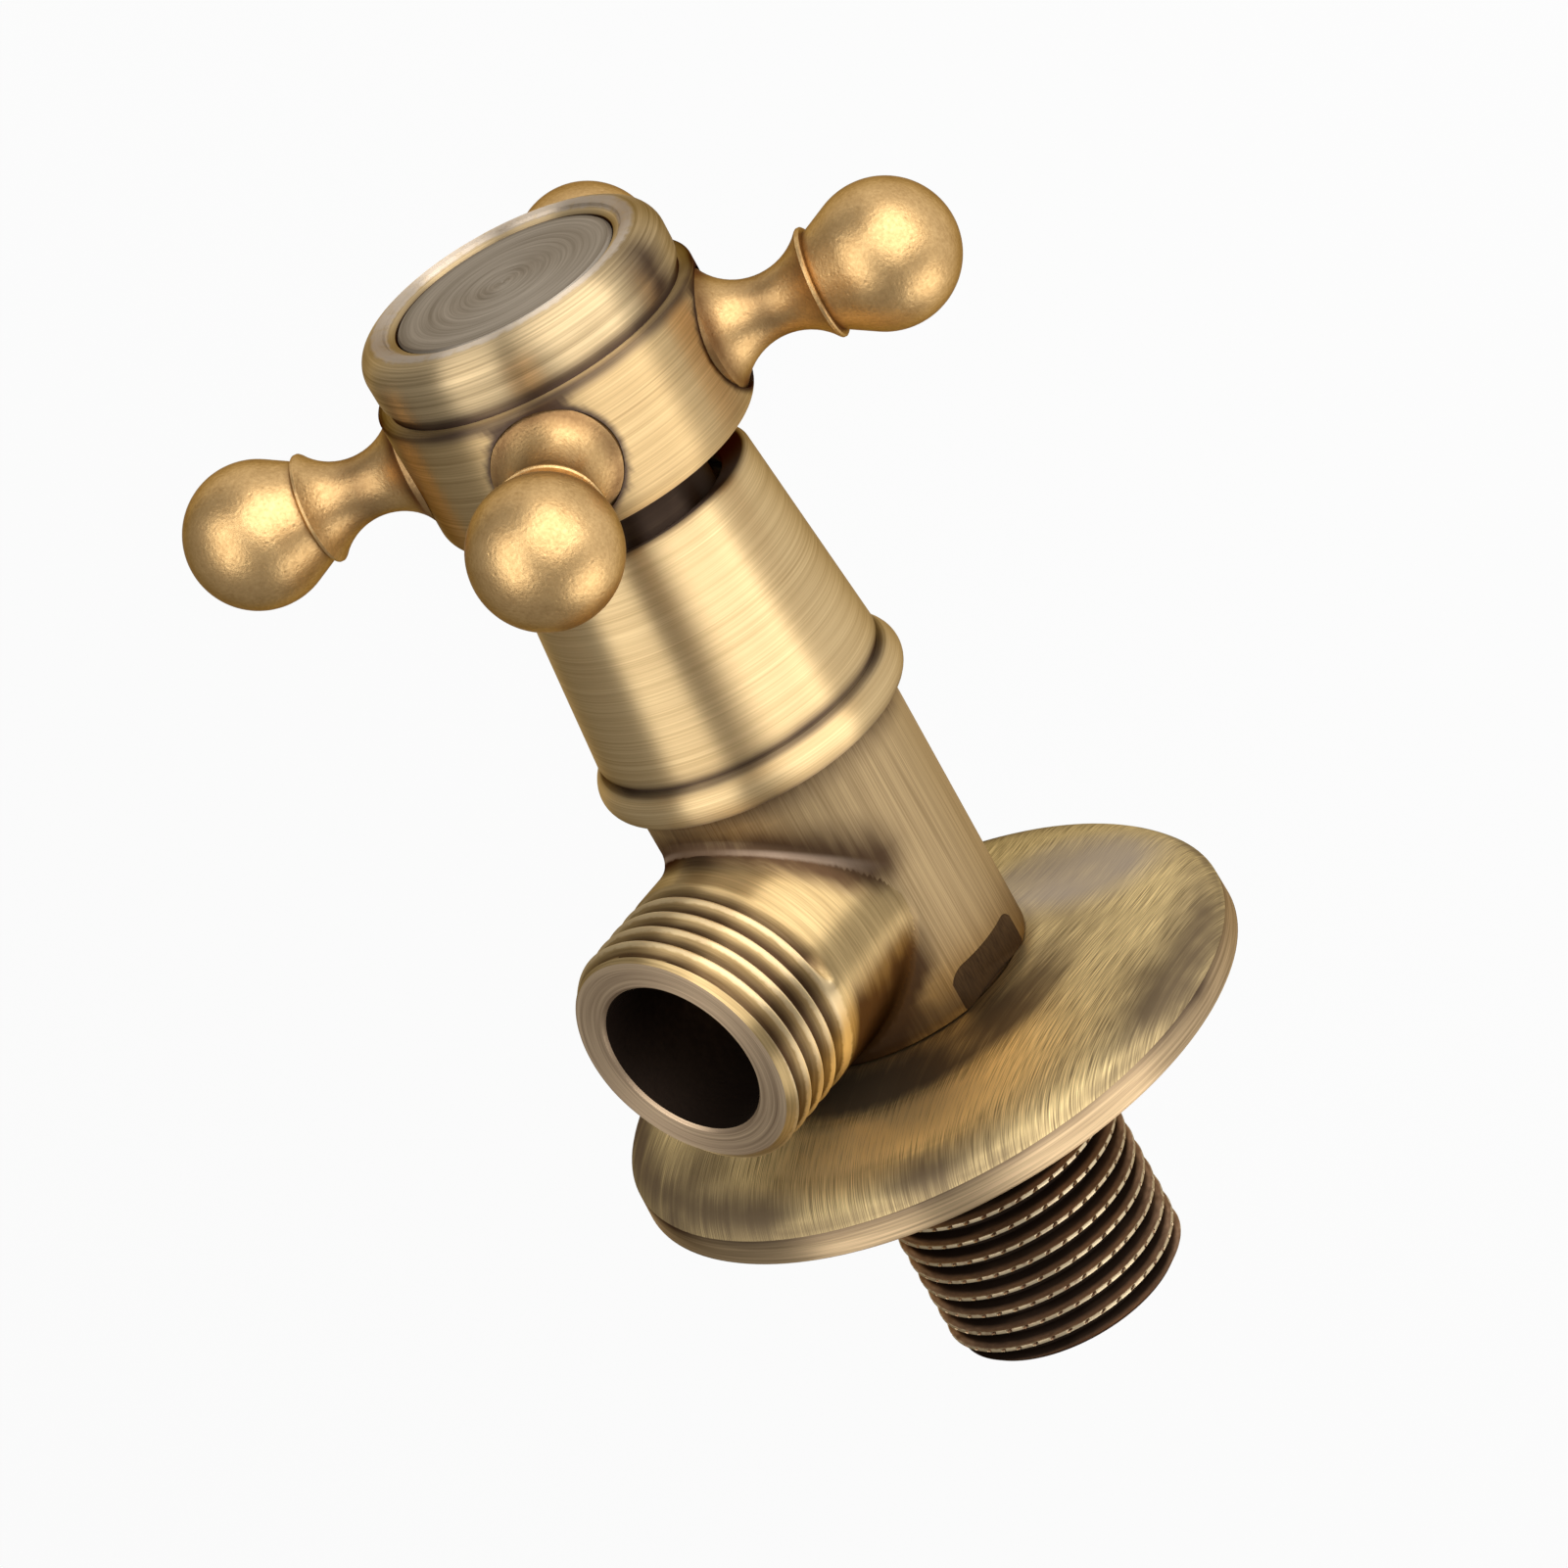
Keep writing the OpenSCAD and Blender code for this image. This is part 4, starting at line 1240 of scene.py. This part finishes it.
# Cap ring
# A rounded ring turned from bar and screwed in the top of the hub. A dark
# groove parts it from the hub, and its lip runs down to the index disc.
cap_low, cap_high = frame_box("cap_ring")
cap_r = cap_high[0]
cap_foot = 70.02
cap_top = -cap_low[1]
crown = 2.3
cap_plug_r = 10.5
cap_plug_foot = -cap_high[1]
cap_groove_r = cap_r - 0.4
cap_groove_top = cap_foot + 0.48
cap_lip_r = 10.2
cap_hole_r = 7.95
disc_seat = 72.8
disc_seat_r = 9.3
cap = as_object(turned(
    [(cap_plug_r, cap_plug_foot), (cap_plug_r, cap_foot)]
    + [(cap_groove_r, cap_foot), (cap_groove_r, cap_groove_top)]
    + [(cap_r - 0.12, cap_groove_top + 0.45), (cap_r - 0.03, cap_groove_top + 1.1)]
    + arc(cap_r - crown, cap_top - crown, crown, 0, 90, 16)
    + [
        (cap_lip_r, cap_top - 0.1), (cap_lip_r - 0.15, cap_top - 0.3),
        (disc_seat_r + 0.1, cap_top - 0.5), (disc_seat_r, cap_top - 0.6),
        (disc_seat_r, disc_seat), (cap_hole_r, disc_seat), (cap_hole_r, cap_plug_foot),
    ],
), "cap")
# A patch of painted shade on one side of the cap's flank.
cap_shade_spot = (-12.7, -2.5)
cap_sheen_r = 11.9


def cap_patina_and_painted_light(point):
    ring = (math.hypot(point.x, point.z), -point.y)
    if ring[1] > disc_seat - 0.8 and ring[0] < disc_seat_r + 0.05:
        return 1
    # A faint painted highlight on the crown.
    crown_highlight = 0.15 * near(ring, (cap_r - 1.6, cap_top), 1.6)
    groove = near(ring, (cap_groove_r, cap_foot), 1.8)
    return max(groove, 0.8 * near((point.x, point.z), cap_shade_spot, 5)) - crown_highlight


# Inside the crown the top is paled to grey: a painted sheen, laid on as wear.
def cap_top_sheen(point):
    inwards = cap_sheen_r - math.hypot(point.x, point.z)
    return 0.66 * min(1, max(0, inwards / 0.9)) if -point.y > cap_top - 0.4 else 0


store_marks(cap, cap_patina_and_painted_light)
store_marks(cap, cap_top_sheen, "wear_and_sheen")
# The cap's wear colour is the grey of that painted sheen.
cap.data.materials.append(brushed(
    "cap_brass", (0.7, 5600, 5600, 0),
    bright=(0.84, 0.64, 0.37, 1), deep=(0.38, 0.27, 0.14, 1), wear_and_sheen=(0.68, 0.57, 0.45, 1),
))
finish(cap, "handle", ["cap_ring"])


# Index disc
# A plain turned disc that is pressed on the ledge of the cap ring, darker than
# the rest, with fine rings left by the tool.
disc_r = 9.18
disc_low, disc_high = frame_box("index_disc")
disc_foot = -disc_high[1]
disc_top = -disc_low[1]
disc_chamfer = 0.2
disc = as_object(turned([
    (0, disc_foot), (disc_r, disc_foot), (disc_r, disc_top - disc_chamfer),
    (disc_r - disc_chamfer, disc_top), (0, disc_top),
], longest=0.6), "disc")


def disc_stain(point):
    return 0.5 * near((math.hypot(point.x, point.z), -point.y), (disc_r, disc_top), 0.5)


store_marks(disc, disc_stain)
disc.data.materials.append(brushed(
    "disc_brass", (0.7, 0, 4200, 0), bright=(0.58, 0.51, 0.42, 1), deep=(0.235, 0.2, 0.155, 1),
    anisotropy=0.3, contrast=2.3, share=0.45,
))
finish(disc, "handle", ["index_disc"])


# Inner pieces
# The cartridge and what drives it stay as the frame has them. Bare brass is
# turned, the discs are lapped alumina, the rings rubber, the rest plain steel.
turned_brass = brushed(
    "turned_brass", (2, 5000, 5000, 0), bright=(0.8, 0.63, 0.32, 1), deep=(0.62, 0.46, 0.2, 1),
    roughness=0.24, contrast=1.6,
)
steel = brushed(
    "steel", (2, 5000, 5000, 0), bright=(0.66, 0.67, 0.68, 1), deep=(0.5, 0.51, 0.52, 1),
    roughness=0.28, contrast=1.4,
)


def moulded(name, pale, dark, roughness, scale, depth):
    """A plain moulded or lapped surface with a fine, even grain."""
    made, tree, shader = new_material(name)
    here = add_node(tree, "ShaderNodeTexCoord").outputs["Object"]
    grain = add_node(
        tree, "ShaderNodeTexNoise", {"Vector": here, "Scale": scale, "Detail": 3.0}
    ).outputs[0]
    tree.links.new(blend(tree, grain, dark, pale), shader.inputs["Base Color"])
    rough = math_of(tree, "ADD", math_of(tree, "MULTIPLY", grain, 0.15), roughness)
    tree.links.new(rough, shader.inputs["Roughness"])
    bump = add_node(tree, "ShaderNodeBump", {"Height": grain, "Distance": depth})
    tree.links.new(bump.outputs[0], shader.inputs["Normal"])
    return made


alumina = moulded(
    "alumina", (0.94, 0.92, 0.87, 1), (0.88, 0.86, 0.8, 1), 0.15, 2500.0, 0.001 * MM
)
rubber = moulded(
    "rubber", (0.055, 0.055, 0.055, 1), (0.03, 0.03, 0.03, 1), 0.5, 3000.0, 0.01 * MM
)
inner_finishes = {
    "turned_brass": turned_brass, "ceramic": alumina, "black_rubber": rubber, "steel": steel
}
for subpart in frame["record"]["subparts"]:
    inner_finish = inner_finishes.get(subpart["material_slot"])
    if inner_finish:
        inner_piece = frame["nodes"][subpart["node"]]
        inner_piece.material_slots[0].material = inner_finish
